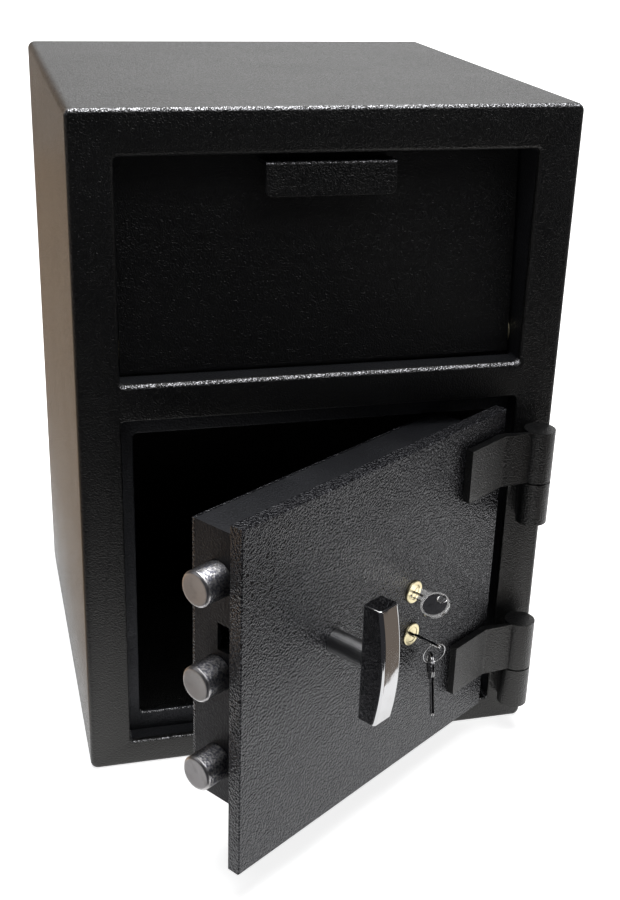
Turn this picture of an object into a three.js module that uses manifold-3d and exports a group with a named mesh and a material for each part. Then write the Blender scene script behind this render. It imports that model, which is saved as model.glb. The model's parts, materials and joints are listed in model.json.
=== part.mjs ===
// Front loading drop safe: a tilting deposit drawer above a thick hinged door with round bolts.
// Millimetres. x runs to the right seen from the front, y from the front face to the back, z up.
// The origin is the middle of the cabinet's underside. The door stands open and its bolts are thrown.

import * as THREE from "three";
import { mergeVertices } from "three/addons/utils/BufferGeometryUtils.js";
import Module from "manifold-3d";

const wasm = await Module();
wasm.setup();

// Fits and cutting

const seatGap = 0.3; // between pieces that are screwed, welded or riveted together
const runningGap = 0.3; // round a pin, shaft or plug that turns
const slidingGap = 0.4; // round a bolt that slides
const overrun = 2; // how far a cut reaches past the piece it cuts
const roundSides = 36;
const smallRoundSides = 24;
const weldDistance = 1e-4; // points closer than this become one
// An outline's arc gets twice these segments, whatever its length.
const arcSegments = 4;
const roundSegments = roundSides / 2;
const smallRoundSegments = smallRoundSides / 2;

// Cabinet

const cabinet = {
  width: 360,
  depth: 360,
  height: 508,
  wall: 4,
  frontThickness: 5,
  backThickness: 4,
  cornerRadius: 6,
  anchorHoleRadius: 6.5,
  anchorSideInset: 50,
  anchorEndInset: 60,
};

// What the front plate keeps round its two openings
const frontBars = {
  side: 31,
  top: 31.5,
  middle: 27,
  bottom: 21.5,
  openingCornerRadius: 3,
  drawerOpeningHeight: 158,
};

const drawerOpening = {
  width: cabinet.width - 2 * frontBars.side,
  height: frontBars.drawerOpeningHeight,
  bottom: cabinet.height - frontBars.top - frontBars.drawerOpeningHeight,
  cornerRadius: frontBars.openingCornerRadius,
};

const doorOpening = {
  width: drawerOpening.width,
  height: drawerOpening.bottom - frontBars.middle - frontBars.bottom,
  bottom: frontBars.bottom,
  cornerRadius: frontBars.openingCornerRadius,
};

// The ledge behind the door opening that the door closes against and the bolts hook behind
const stopFrame = {
  sleeveDepth: 11,
  sleeveWall: 3,
  flangeThickness: 3,
  flangeFreeSide: 10,
  flangeHingeSide: 15,
  flangeTop: 16,
  flangeBottom: 15.5,
};

// Door and its hinges, drawn closed and then swung open

const door = {
  sideGap: 7.5,
  endGap: 4.5,
  thickness: 11,
  setBack: 3,
  edgeBevel: 0.8,
  openAngle: 34,
};

const hinge = {
  axisFromSide: 15,
  axisInFront: 13,
  barrelRadius: 12,
  pinRadius: 4,
  pinTopMargin: 7,
  padWidth: 16,
  washerThickness: 1,
  washerRadius: 9,
  strapThickness: 6,
  strapHeight: 41.2,
  strapReach: 50,
  bendRadius: 9,
  crankAngle: 37.8,
  knuckleHeight: 34,
  upperStrapBelowDoorTop: 18,
  lowerStrapAboveDoor: 35.8,
};

const boltBox = {
  sideInset: 13,
  bottomAboveDoor: 40,
  topBelowDoor: 15,
  depth: 43.4,
  wall: 3,
  flangeWidth: 14,
  coverThickness: 2,
  screwInset: 7,
  screwFromEnd: 27,
  screwRadius: 2,
  screwHeadRadius: 4,
  screwHeadHeight: 2.4,
  screwLength: 9,
  notchDepth: 22.7,
  notchHeight: 20,
  notchAboveBolt: 5,
};

const bolt = {
  radius: 12.5,
  length: 60,
  chamfer: 1.4,
  behindDoor: 22.3,
  pastDoorEdge: 8,
  lowestAboveBox: 30.5,
  highestBelowBox: 35.5,
  studRadius: 5,
  studLength: 11,
  nutAcrossFlats: 16,
  nutThickness: 4,
};

const guide = {
  fromBoltEnd: 49.5,
  thickness: 3,
  pastBolts: 19,
  depth: 34,
};

const carrier = {
  barThickness: 5,
  pastBolts: 12.5,
  barDepth: 24,
  plateThickness: 5,
  plateAboveHandle: 24.5,
  plateBelowHandle: 21.5,
  slotWall: 5,
  slotSideGap: 1,
  slotEndGap: 1,
  nutNotchLength: 6,
  nutNotchMargin: 1.4,
  lockBarHeight: 15,
  lockBarEnd: 174,
};

const handle = {
  aboveMiddleBolt: 4,
  fromFreeEdge: 91.5,
  barLength: 88,
  barWidth: 18.5,
  barDepth: 15,
  barBulge: 5,
  barBevel: 1.4,
  standOff: 30,
  shaftRadius: 8.5,
  stubRadius: 5,
  crankRadius: 14.8,
  crankStartAngle: 135,
  crankThickness: 5,
  crankBehindDoor: 10,
  crankHubRadius: 8,
  crankTipRadius: 7.5,
  pinRadius: 4,
  pinLength: 18,
  nutAcrossFlats: 14,
  nutThickness: 4,
  bushWall: 3,
  bushFlangeRadius: 15,
  bushFlangeThickness: 3,
  bushTail: 7,
};

const lock = {
  fromFreeEdge: 179.5,
  upperAboveHandle: 2.5,
  lowerBelowHandle: 33,
  headRadius: 8.7,
  headHeight: 1.2,
  headChamfer: 0.5,
  bodyRadius: 7.2,
  bodyBehindDoor: 18,
  plugRadius: 5.6,
  plugFaceDrop: 0.3,
  plugTail: 1.4,
  spindleRadius: 3.4,
  spindleEnd: 1.6,
  nutAcrossFlats: 24,
  nutThickness: 4,
  camThickness: 3,
  camHubRadius: 7,
  camReach: 15,
  camHalfWidth: 4,
  camBehindPlateFront: 0.2,
};

// Where each key stands while unlocked, from level to the right, and how far it is pushed in
const lockSettings = {
  upper: { keyAngle: 29, bowFromLock: 20 },
  lower: { keyAngle: -40, bowFromLock: 15.5 },
};

const key = {
  thickness: 1.8,
  bowRadius: 10.8,
  bowSide: -3,
  bowToTip: 36,
  bladeWidth: 9,
  shoulderWidth: 12,
  shoulderFromTip: 26,
  shoulderLength: 3.5,
  notchDepth: 1.6,
  notchLength: 2.2,
  notchCount: 4,
  firstNotchFromTip: 4,
  notchPitch: 4,
  holeRadius: 3,
  holeFromBlade: 3.3,
  holeOut: 2.3,
  slotGap: 0.4,
};

const keyRing = {
  radius: 8.9,
  wireRadius: 0.55,
  turnFromDoor: 25,
  lean: 10.4,
  hangAside: 12.5,
  steps: 32,
  wireSides: 8,
};

// The spare key hangs out of line, because its hole is beside its middle, and is turned a
// little out of square with the ring.
const spareKey = {
  lean: 23,
  turnFromRing: 17,
};

// Deposit drawer, drawn about its pivot and leaned back against its stop

const drawer = {
  pivotBehindFront: 32,
  pivotAboveOpening: 15.5,
  leanAngle: 4.7,
  sideGap: 2.5,
  panelThickness: 3,
  panelInFrontOfPivot: 8,
  panelGapBelow: 2,
  panelGapAbove: 5,
  cheekThickness: 2.5,
  cheekBelowPanelTop: 29.5,
  cheekTopAngle: 80,
  floorAngle: -25,
  floorThickness: 2.5,
  pullWidth: 93,
  pullHeight: 24,
  pullDepth: 25,
  pullSheet: 3,
  pullBelowTop: 3.5,
  pullCornerRadius: 5,
  bushRadius: 5.8,
  bushFlangeRadius: 10,
  bushFlangeThickness: 1.4,
  bushInside: 1.5,
  pinRadius: 4,
  pinHeadRadius: 7,
  pinHeadThickness: 3,
};

const surround = {
  wall: 3,
  sideDepth: 40,
  bottomDepth: 14,
};

const baffle = {
  radiusGap: 5,
  thickness: 2.5,
  lowAngle: -8,
  highAngle: 70,
};

// Materials

function paint(color, roughness) {
  return new THREE.MeshStandardMaterial({ color, roughness, metalness: 0.2 });
}

function metal(color, roughness) {
  return new THREE.MeshStandardMaterial({ color, roughness, metalness: 1 });
}

const bodyPaint = paint(0x1b1e21, 0.45);
const doorPaint = paint(0x26292c, 0.5);
const innerPaint = paint(0x141618, 0.6);
const chrome = metal(0xd8dadc, 0.12);
const boltSteel = metal(0xb9b9bb, 0.3);
const plainSteel = metal(0x8f9193, 0.42);
const brass = metal(0xd9cb93, 0.28);

// Solids

function solidOf(geometry) {
  const bare = geometry.clone();
  bare.deleteAttribute("normal");
  bare.deleteAttribute("uv");
  const merged = mergeVertices(bare, weldDistance);
  return new wasm.Manifold(
    new wasm.Mesh({
      numProp: 3,
      vertProperties: merged.attributes.position.array,
      triVerts: new Uint32Array(merged.index.array),
    }),
  );
}

function geometryOf(solid) {
  const { vertProperties, triVerts } = solid.getMesh();
  const geometry = new THREE.BufferGeometry();
  geometry.setAttribute("position", new THREE.BufferAttribute(vertProperties, 3));
  geometry.setIndex(new THREE.BufferAttribute(triVerts, 1));
  geometry.computeVertexNormals();
  return geometry;
}

function join(...geometries) {
  return geometryOf(geometries.map(solidOf).reduce((whole, next) => whole.add(next)));
}

function cut(base, ...tools) {
  return geometryOf(tools.map(solidOf).reduce((whole, tool) => whole.subtract(tool), solidOf(base)));
}

function common(first, second) {
  return geometryOf(solidOf(first).intersect(solidOf(second)));
}

function radians(degrees) {
  return THREE.MathUtils.degToRad(degrees);
}

// The plane that an outline is drawn in, as its two axes and the axis it is pushed along
const drawnAcross = {
  x: [new THREE.Vector3(0, 1, 0), new THREE.Vector3(0, 0, 1), new THREE.Vector3(1, 0, 0)],
  y: [new THREE.Vector3(1, 0, 0), new THREE.Vector3(0, 0, 1), new THREE.Vector3(0, -1, 0)],
  z: [new THREE.Vector3(1, 0, 0), new THREE.Vector3(0, 1, 0), new THREE.Vector3(0, 0, 1)],
};

// An outline pushed along x, y or z, from one place to another
function prism(shape, axis, from, to, options = {}) {
  const geometry = new THREE.ExtrudeGeometry(shape, {
    depth: to - from,
    bevelEnabled: false,
    curveSegments: arcSegments,
    ...options,
  });
  const start = axis === "y" ? -to : from;
  geometry.translate(0, 0, start);
  geometry.applyMatrix4(new THREE.Matrix4().makeBasis(...drawnAcross[axis]));
  return geometry;
}

// A prism whose edges are all bevelled inwards, so that it keeps its size
function bevelledPrism(shape, axis, from, to, bevel, segments) {
  return prism(shape, axis, from + bevel, to - bevel, {
    bevelEnabled: true,
    bevelThickness: bevel,
    bevelSize: bevel,
    bevelOffset: -bevel,
    bevelSegments: segments,
  });
}

function box(x0, x1, y0, y1, z0, z1) {
  const geometry = new THREE.BoxGeometry(x1 - x0, y1 - y0, z1 - z0);
  return geometry.translate((x0 + x1) / 2, (y0 + y1) / 2, (z0 + z1) / 2);
}

// A round bar along x, y or z
function rod(axis, radius, from, to, a = 0, b = 0, sides = roundSides) {
  const geometry = new THREE.CylinderGeometry(radius, radius, to - from, sides);
  geometry.rotateX(Math.PI / 2);
  geometry.translate(0, 0, (from + to) / 2);
  return placedAlong(geometry, axis, a, b);
}

// A turned piece along x, y or z. The outline lists [radius, place along the axis] and is
// closed through the axis.
function turned(axis, outline, a = 0, b = 0, sides = roundSides) {
  const points = outline.map(([radius, along]) => new THREE.Vector2(radius, along));
  const geometry = new THREE.LatheGeometry(points, sides);
  geometry.rotateX(Math.PI / 2);
  return placedAlong(geometry, axis, a, b);
}

// Turns a piece made along z so that it lies along the named axis, through the place a, b
// in the plane across that axis.
function placedAlong(geometry, axis, a, b) {
  if (axis === "x") {
    geometry.applyMatrix4(new THREE.Matrix4().makeBasis(...drawnAcross.x));
    return geometry.translate(0, a, b);
  }
  if (axis === "y") {
    geometry.rotateX(-Math.PI / 2);
    return geometry.translate(a, 0, b);
  }
  return geometry.translate(a, b, 0);
}

function rectangle(x0, x1, y0, y1, radius = 0) {
  const shape = new THREE.Shape();
  if (radius === 0) {
    shape.moveTo(x0, y0);
    shape.lineTo(x1, y0);
    shape.lineTo(x1, y1);
    shape.lineTo(x0, y1);
    return shape;
  }
  shape.absarc(x1 - radius, y0 + radius, radius, -Math.PI / 2, 0, false);
  shape.absarc(x1 - radius, y1 - radius, radius, 0, Math.PI / 2, false);
  shape.absarc(x0 + radius, y1 - radius, radius, Math.PI / 2, Math.PI, false);
  shape.absarc(x0 + radius, y0 + radius, radius, Math.PI, 1.5 * Math.PI, false);
  return shape;
}

function disc(radius, x = 0, y = 0) {
  const shape = new THREE.Shape();
  shape.absarc(x, y, radius, 0, 2 * Math.PI, false);
  return shape;
}

function polygon(points) {
  return new THREE.Shape(points.map(([x, y]) => new THREE.Vector2(x, y)));
}

function hexagon(acrossFlats, x = 0, y = 0) {
  const corner = acrossFlats / Math.sqrt(3);
  const corners = [0, 1, 2, 3, 4, 5].map((i) => (i * Math.PI) / 3);
  return polygon(corners.map((angle) => [x + corner * Math.cos(angle), y + corner * Math.sin(angle)]));
}

function withHole(shape, hole) {
  shape.holes.push(hole);
  return shape;
}

// A ring round an opening
function frameShape(opening, border) {
  const halfWidth = opening.width / 2;
  const top = opening.bottom + opening.height;
  return withHole(
    rectangle(-halfWidth - border, halfWidth + border, opening.bottom - border, top + border),
    openingShape(opening),
  );
}

function openingShape(opening) {
  const halfWidth = opening.width / 2;
  const top = opening.bottom + opening.height;
  return rectangle(-halfWidth, halfWidth, opening.bottom, top, opening.cornerRadius);
}

function named(name, geometry, material) {
  const mesh = new THREE.Mesh(geometry, material);
  mesh.name = name;
  return mesh;
}

// Places that several pieces share, in the closed door's coordinates with the front face at y = 0

const halfWidth = cabinet.width / 2;
const doorFront = door.setBack;
const doorBack = door.setBack + door.thickness;
const doorHingeEdge = doorOpening.width / 2 - door.sideGap;
const doorFreeEdge = -doorHingeEdge;
const doorBottom = doorOpening.bottom + door.endGap;
const doorTop = doorOpening.bottom + doorOpening.height - door.endGap;

const boxLeft = doorFreeEdge + boltBox.sideInset;
const boxRight = doorHingeEdge - boltBox.sideInset;
const boxBottom = doorBottom + boltBox.bottomAboveDoor;
const boxTop = doorTop - boltBox.topBelowDoor;
const boxFront = doorBack + seatGap;
const boxBack = boxFront + boltBox.depth;

const boltY = doorBack + bolt.behindDoor;
const boltEndX = doorFreeEdge - bolt.pastDoorEdge;
const boltRootX = boltEndX + bolt.length;
const lowestBolt = boxBottom + bolt.lowestAboveBox;
const highestBolt = boxTop - bolt.highestBelowBox;
const middleBolt = (lowestBolt + highestBolt) / 2;
const boltHeights = [lowestBolt, middleBolt, highestBolt];

const carrierX = boltRootX + seatGap;
const carrierBackX = carrierX + carrier.barThickness;
const driveX = carrierBackX + seatGap;
const driveFront = boltY - carrier.plateThickness / 2;
const driveBack = boltY + carrier.plateThickness / 2;

const handleX = doorFreeEdge + handle.fromFreeEdge;
const handleZ = middleBolt + handle.aboveMiddleBolt;
const crankFront = doorBack + handle.crankBehindDoor;
const crankBack = crankFront + handle.crankThickness;

const lockX = doorFreeEdge + lock.fromFreeEdge;
const lockHeights = {
  upper: handleZ + lock.upperAboveHandle,
  lower: handleZ - lock.lowerBelowHandle,
};
const lockFace = doorFront - seatGap - lock.headHeight;
const plugFace = lockFace + lock.plugFaceDrop;
const lockBodyEnd = doorBack + lock.bodyBehindDoor;
const camFront = driveFront + lock.camBehindPlateFront;
const camBack = camFront + lock.camThickness;

// Cabinet pieces

function bodyShell() {
  const outer = rectangle(-halfWidth, halfWidth, 0, cabinet.height, cabinet.cornerRadius);
  const inner = rectangle(
    cabinet.wall - halfWidth,
    halfWidth - cabinet.wall,
    cabinet.wall,
    cabinet.height - cabinet.wall,
    cabinet.cornerRadius - cabinet.wall,
  );
  const from = cabinet.frontThickness;
  const to = cabinet.depth - cabinet.backThickness;
  const tube = prism(withHole(outer, inner), "y", from, to);
  const holes = [];
  for (const side of [-1, 1]) {
    for (const y of [cabinet.anchorEndInset, cabinet.depth - cabinet.anchorEndInset]) {
      const x = side * (halfWidth - cabinet.anchorSideInset);
      const radius = cabinet.anchorHoleRadius;
      holes.push(rod("z", radius, -overrun, cabinet.wall + overrun, x, y, smallRoundSides));
    }
  }
  return cut(tube, ...holes);
}

function frontFrame() {
  const face = rectangle(-halfWidth, halfWidth, 0, cabinet.height, cabinet.cornerRadius);
  face.holes.push(openingShape(doorOpening), openingShape(drawerOpening));
  return prism(face, "y", 0, cabinet.frontThickness);
}

function backPanel() {
  const face = rectangle(-halfWidth, halfWidth, 0, cabinet.height, cabinet.cornerRadius);
  return prism(face, "y", cabinet.depth - cabinet.backThickness, cabinet.depth);
}

function doorStopFrame() {
  const front = cabinet.frontThickness;
  const flangeFront = front + stopFrame.sleeveDepth;
  const flangeBack = flangeFront + stopFrame.flangeThickness;
  const sleeve = prism(frameShape(doorOpening, stopFrame.sleeveWall), "y", front, flangeBack);
  const half = doorOpening.width / 2;
  const top = doorOpening.bottom + doorOpening.height;
  const inner = rectangle(
    stopFrame.flangeFreeSide - half,
    half - stopFrame.flangeHingeSide,
    doorOpening.bottom + stopFrame.flangeBottom,
    top - stopFrame.flangeTop,
    doorOpening.cornerRadius,
  );
  const wall = stopFrame.sleeveWall / 2;
  const outer = rectangle(-half - wall, half + wall, doorOpening.bottom - wall, top + wall);
  return join(sleeve, prism(withHole(outer, inner), "y", flangeFront, flangeBack));
}

function drawerSurround() {
  const front = cabinet.frontThickness;
  const half = drawerOpening.width / 2;
  const top = drawerOpening.bottom + drawerOpening.height;
  const back = front + surround.sideDepth;
  const sleeve = prism(frameShape(drawerOpening, surround.wall), "y", front, back);
  const lowCut = box(
    -half,
    half,
    front + surround.bottomDepth,
    back + overrun,
    drawerOpening.bottom - surround.wall - overrun,
    (drawerOpening.bottom + top) / 2,
  );
  const pinHoles = [-1, 1].map((side) => {
    const from = side * half - surround.wall - overrun;
    const to = side * half + surround.wall + overrun;
    const radius = drawer.pinRadius + seatGap;
    return rod("x", radius, from, to, drawer.pivotBehindFront, drawerPivotZ, smallRoundSides);
  });
  return cut(sleeve, lowCut, ...pinHoles);
}

const drawerPivotZ = drawerOpening.bottom + drawer.pivotAboveOpening;
const drawerHalfWidth = drawerOpening.width / 2 - drawer.sideGap;
const panelBottom = drawer.panelGapBelow - drawer.pivotAboveOpening;
const panelTop = drawerOpening.height - drawer.pivotAboveOpening - drawer.panelGapAbove;
const cheekRadius = panelTop - drawer.cheekBelowPanelTop;

// A pin with its head outside the surround and its nose in the drawer's bush
function pivotPin(side) {
  const wallInside = drawerOpening.width / 2;
  const headFrom = wallInside + surround.wall;
  const nose = drawerHalfWidth - drawer.cheekThickness - drawer.bushInside;
  const pin = turned(
    "x",
    [
      [0, nose],
      [drawer.pinRadius, nose],
      [drawer.pinRadius, headFrom],
      [drawer.pinHeadRadius, headFrom],
      [drawer.pinHeadRadius, headFrom + drawer.pinHeadThickness],
      [0, headFrom + drawer.pinHeadThickness],
    ],
    0,
    0,
    smallRoundSides,
  );
  if (side < 0) pin.rotateZ(Math.PI);
  return pin.translate(0, drawer.pivotBehindFront, drawerPivotZ);
}

// Curved sheet behind the drawer, which keeps hands and hooks out while the drawer is open
function fishBaffle() {
  const inner = cheekRadius + baffle.radiusGap;
  const outer = inner + baffle.thickness;
  const low = radians(baffle.lowAngle);
  const high = radians(baffle.highAngle);
  const y = drawer.pivotBehindFront;
  const z = drawerPivotZ;
  const top = cabinet.height - cabinet.cornerRadius;
  const shape = new THREE.Shape();
  shape.absarc(y, z, inner, low, high, false);
  shape.lineTo(y + inner * Math.cos(high), top);
  shape.lineTo(y + outer * Math.cos(high), top);
  shape.absarc(y, z, outer, high, low, true);
  const half = halfWidth - cabinet.wall;
  return prism(shape, "x", -half, half, { curveSegments: roundSegments / 2 });
}

// Hinges

const hingeX = halfWidth - hinge.axisFromSide;
const hingeY = -hinge.axisInFront;

function fixedKnuckle(top) {
  const barrel = prism(disc(hinge.barrelRadius, hingeX, hingeY), "z", top - hinge.knuckleHeight, top, {
    curveSegments: roundSegments,
  });
  const half = hinge.padWidth / 2;
  const pad = box(hingeX - half, hingeX + half, hingeY, 0, top - hinge.knuckleHeight, top);
  const bore = rod(
    "z",
    hinge.pinRadius + seatGap,
    top - hinge.knuckleHeight - overrun,
    top + overrun,
    hingeX,
    hingeY,
    smallRoundSides,
  );
  return cut(join(barrel, pad), bore);
}

function hingeWasher(bottom) {
  const ring = withHole(
    disc(hinge.washerRadius, hingeX, hingeY),
    disc(hinge.pinRadius + seatGap, hingeX, hingeY),
  );
  return prism(ring, "z", bottom, bottom + hinge.washerThickness, { curveSegments: roundSegments });
}

function hingePin(knuckleTop) {
  const top = knuckleTop + hinge.strapHeight - hinge.pinTopMargin;
  const bottom = knuckleTop - hinge.knuckleHeight;
  return rod("z", hinge.pinRadius, bottom, top, hingeX, hingeY, smallRoundSides);
}

// Seen from above: the strap leaves the barrel's front, goes in past the front face and then
// lies flat on the door.
function hingeStrap(bottom) {
  const crank = radians(hinge.crankAngle);
  const axis = new THREE.Vector2(hingeX, hingeY);
  const towardFront = new THREE.Vector2(-Math.sin(crank), -Math.cos(crank));
  const start = axis.clone().addScaledVector(towardFront, hinge.barrelRadius);
  const inside = axis.clone().addScaledVector(towardFront, hinge.barrelRadius - hinge.strapThickness);
  const backY = doorFront - seatGap;
  const frontY = backY - hinge.strapThickness;
  const endX = doorHingeEdge - hinge.strapReach;
  const bendY = frontY - hinge.bendRadius;
  const bendStartY = bendY + hinge.bendRadius * Math.cos(crank);
  const bendX =
    start.x - (bendStartY - start.y) / Math.tan(crank) - hinge.bendRadius * Math.sin(crank);
  const outerBend = hinge.bendRadius + hinge.strapThickness;
  const shape = new THREE.Shape();
  shape.moveTo(start.x, start.y);
  shape.absarc(bendX, bendY, hinge.bendRadius, Math.PI / 2 - crank, Math.PI / 2, false);
  shape.lineTo(endX, frontY);
  shape.lineTo(endX, backY);
  shape.absarc(bendX, bendY, outerBend, Math.PI / 2, Math.PI / 2 - crank, true);
  shape.lineTo(inside.x, inside.y);
  const top = bottom + hinge.strapHeight;
  const barrel = prism(disc(hinge.barrelRadius, hingeX, hingeY), "z", bottom, top, {
    curveSegments: roundSegments,
  });
  const bore = rod(
    "z",
    hinge.pinRadius + runningGap,
    bottom - overrun,
    top - hinge.pinTopMargin + runningGap,
    hingeX,
    hingeY,
    smallRoundSides,
  );
  return cut(join(prism(shape, "z", bottom, top), barrel), bore);
}

// Door pieces

function doorPlate() {
  const face = rectangle(doorFreeEdge, doorHingeEdge, doorBottom, doorTop);
  const plate = bevelledPrism(face, "y", doorFront, doorBack, door.edgeBevel, 1);
  const from = doorFront - overrun;
  const to = doorBack + overrun;
  const bushRadius = handle.shaftRadius + runningGap + handle.bushWall;
  const holes = [rod("y", bushRadius + seatGap, from, to, handleX, handleZ)];
  for (const z of Object.values(lockHeights)) {
    holes.push(rod("y", lock.bodyRadius + seatGap, from, to, lockX, z));
  }
  return cut(plate, ...holes);
}

function boltBoxFrame() {
  const outer = rectangle(boxLeft, boxRight, boxBottom, boxTop);
  const inner = rectangle(
    boxLeft + boltBox.wall,
    boxRight - boltBox.wall,
    boxBottom + boltBox.wall,
    boxTop - boltBox.wall,
  );
  const opening = rectangle(
    boxLeft + boltBox.flangeWidth,
    boxRight - boltBox.flangeWidth,
    boxBottom + boltBox.flangeWidth,
    boxTop - boltBox.flangeWidth,
  );
  const walls = prism(withHole(outer, inner), "y", boxFront, boxBack);
  const flangeOuter = rectangle(
    boxLeft + boltBox.wall / 2,
    boxRight - boltBox.wall / 2,
    boxBottom + boltBox.wall / 2,
    boxTop - boltBox.wall / 2,
  );
  const flange = prism(withHole(flangeOuter, opening), "y", boxBack - boltBox.wall, boxBack);
  const cuts = boltHeights.map((z) =>
    rod("x", bolt.radius + slidingGap, boxLeft - overrun, boxLeft + boltBox.wall + overrun, boltY, z),
  );
  const notchBottom = middleBolt + bolt.radius + boltBox.notchAboveBolt;
  cuts.push(
    box(
      boxLeft - overrun,
      boxLeft + boltBox.wall + overrun,
      boxFront - overrun,
      boxFront + boltBox.notchDepth,
      notchBottom,
      notchBottom + boltBox.notchHeight,
    ),
  );
  for (const [x, z] of screwPlaces()) {
    const radius = boltBox.screwRadius + seatGap;
    cuts.push(rod("y", radius, boxBack - boltBox.wall - overrun, boxBack + overrun, x, z, smallRoundSides));
  }
  return cut(join(walls, flange), ...cuts);
}

function screwPlaces() {
  const places = [];
  for (const x of [boxLeft + boltBox.screwInset, boxRight - boltBox.screwInset]) {
    for (const z of [boxBottom + boltBox.screwFromEnd, boxTop - boltBox.screwFromEnd]) {
      places.push([x, z]);
    }
  }
  return places;
}

function boltBoxCover() {
  const from = boxBack + seatGap;
  const to = from + boltBox.coverThickness;
  const sheet = prism(rectangle(boxLeft, boxRight, boxBottom, boxTop), "y", from, to);
  const radius = boltBox.screwRadius + seatGap;
  const holes = screwPlaces().map(([x, z]) =>
    rod("y", radius, from - overrun, to + overrun, x, z, smallRoundSides),
  );
  return cut(sheet, ...holes);
}

// A dome headed screw that holds the cover on the box's flange
function coverScrew(x, z) {
  const seat = boxBack + 2 * seatGap + boltBox.coverThickness;
  return turned(
    "y",
    [
      [0, seat - boltBox.screwLength],
      [boltBox.screwRadius, seat - boltBox.screwLength],
      [boltBox.screwRadius, seat],
      [boltBox.screwHeadRadius, seat],
      [boltBox.screwHeadRadius * Math.cos(Math.PI / 8), seat + boltBox.screwHeadHeight / 2],
      [boltBox.screwHeadRadius / 2, seat + boltBox.screwHeadHeight],
      [0, seat + boltBox.screwHeadHeight],
    ],
    x,
    z,
    smallRoundSides / 2,
  );
}

// Upright angle inside the box that the bolts slide through
function boltGuide() {
  const left = boltEndX + guide.fromBoltEnd;
  const web = box(
    left,
    left + guide.thickness,
    boxFront + seatGap,
    boxFront + seatGap + guide.depth,
    lowestBolt - guide.pastBolts,
    highestBolt + guide.pastBolts,
  );
  const cuts = boltHeights.map((z) =>
    rod("x", bolt.radius + slidingGap, left - overrun, left + guide.thickness + overrun, boltY, z),
  );
  return cut(web, ...cuts);
}

function spindleBush() {
  const inner = handle.shaftRadius + runningGap;
  const outer = inner + handle.bushWall;
  const sleeve = prism(disc(outer, handleX, handleZ), "y", doorFront, doorBack + handle.bushTail, {
    curveSegments: roundSegments,
  });
  const flangeFrom = doorBack + seatGap;
  const flange = prism(
    disc(handle.bushFlangeRadius, handleX, handleZ),
    "y",
    flangeFrom,
    flangeFrom + handle.bushFlangeThickness,
    { curveSegments: roundSegments },
  );
  const bore = rod("y", inner, doorFront - overrun, doorBack + handle.bushTail + overrun, handleX, handleZ);
  return cut(join(sleeve, flange), bore);
}

function lockBody(z) {
  const body = turned(
    "y",
    [
      [0, lockFace],
      [lock.headRadius - lock.headChamfer, lockFace],
      [lock.headRadius, lockFace + lock.headChamfer],
      [lock.headRadius, doorFront - seatGap],
      [lock.bodyRadius, doorFront - seatGap],
      [lock.bodyRadius, lockBodyEnd],
      [0, lockBodyEnd],
    ],
    lockX,
    z,
  );
  const boreRadius = lock.plugRadius + runningGap;
  return cut(body, rod("y", boreRadius, lockFace - overrun, lockBodyEnd + overrun, lockX, z));
}

function lockNut(z) {
  const from = doorBack + seatGap;
  const ring = withHole(hexagon(lock.nutAcrossFlats, lockX, z), disc(lock.bodyRadius + seatGap, lockX, z));
  return prism(ring, "y", from, from + lock.nutThickness, { curveSegments: roundSegments });
}

// Bolt work

function slidingBolt(z) {
  return turned(
    "x",
    [
      [0, boltEndX],
      [bolt.radius - bolt.chamfer, boltEndX],
      [bolt.radius, boltEndX + bolt.chamfer],
      [bolt.radius, boltRootX],
      [bolt.studRadius, boltRootX],
      [bolt.studRadius, boltRootX + bolt.studLength],
      [0, boltRootX + bolt.studLength],
    ],
    boltY,
    z,
  );
}

function boltNut(z) {
  const ring = withHole(hexagon(bolt.nutAcrossFlats, boltY, z), disc(bolt.studRadius + seatGap, boltY, z));
  return prism(ring, "x", driveX, driveX + bolt.nutThickness, { curveSegments: smallRoundSegments });
}

function boltCarrier() {
  const bar = rectangle(
    boltY - carrier.barDepth / 2,
    boltY + carrier.barDepth / 2,
    lowestBolt - carrier.pastBolts,
    highestBolt + carrier.pastBolts,
  );
  for (const z of boltHeights) bar.holes.push(disc(bolt.studRadius + seatGap, boltY, z));
  return prism(bar, "x", carrierX, carrierBackX, { curveSegments: smallRoundSegments });
}

// Flat plate from the carrier: the handle's pin works in its upright slot, and its long arm
// runs between the two locks.
function drivePlate() {
  const top = handleZ + carrier.plateAboveHandle;
  const bottom = handleZ - carrier.plateBelowHandle;
  const [pinX, pinLow] = drivePinPlace();
  const pinHigh = handleZ + handle.crankRadius;
  const slotHalf = handle.pinRadius + carrier.slotSideGap;
  const slotEnd = handle.pinRadius + carrier.slotEndGap;
  const slotRight = pinX + slotHalf + carrier.slotWall;
  const armEnd = doorFreeEdge + carrier.lockBarEnd;
  const armTop = bottom + carrier.lockBarHeight;
  const notchHalf = bolt.nutAcrossFlats / Math.sqrt(3) + carrier.nutNotchMargin;
  const notchEnd = driveX + carrier.nutNotchLength;
  const shape = polygon([
    [driveX, bottom],
    [armEnd, bottom],
    [armEnd, armTop],
    [slotRight, armTop],
    [slotRight, top],
    [driveX, top],
    [driveX, middleBolt + notchHalf],
    [notchEnd, middleBolt + notchHalf],
    [notchEnd, middleBolt - notchHalf],
    [driveX, middleBolt - notchHalf],
  ]);
  const slot = rectangle(pinX - slotHalf, pinX + slotHalf, pinLow - slotEnd, pinHigh + slotEnd, slotHalf);
  shape.holes.push(slot);
  return prism(shape, "y", driveFront, driveBack);
}

// Handle pieces

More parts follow.
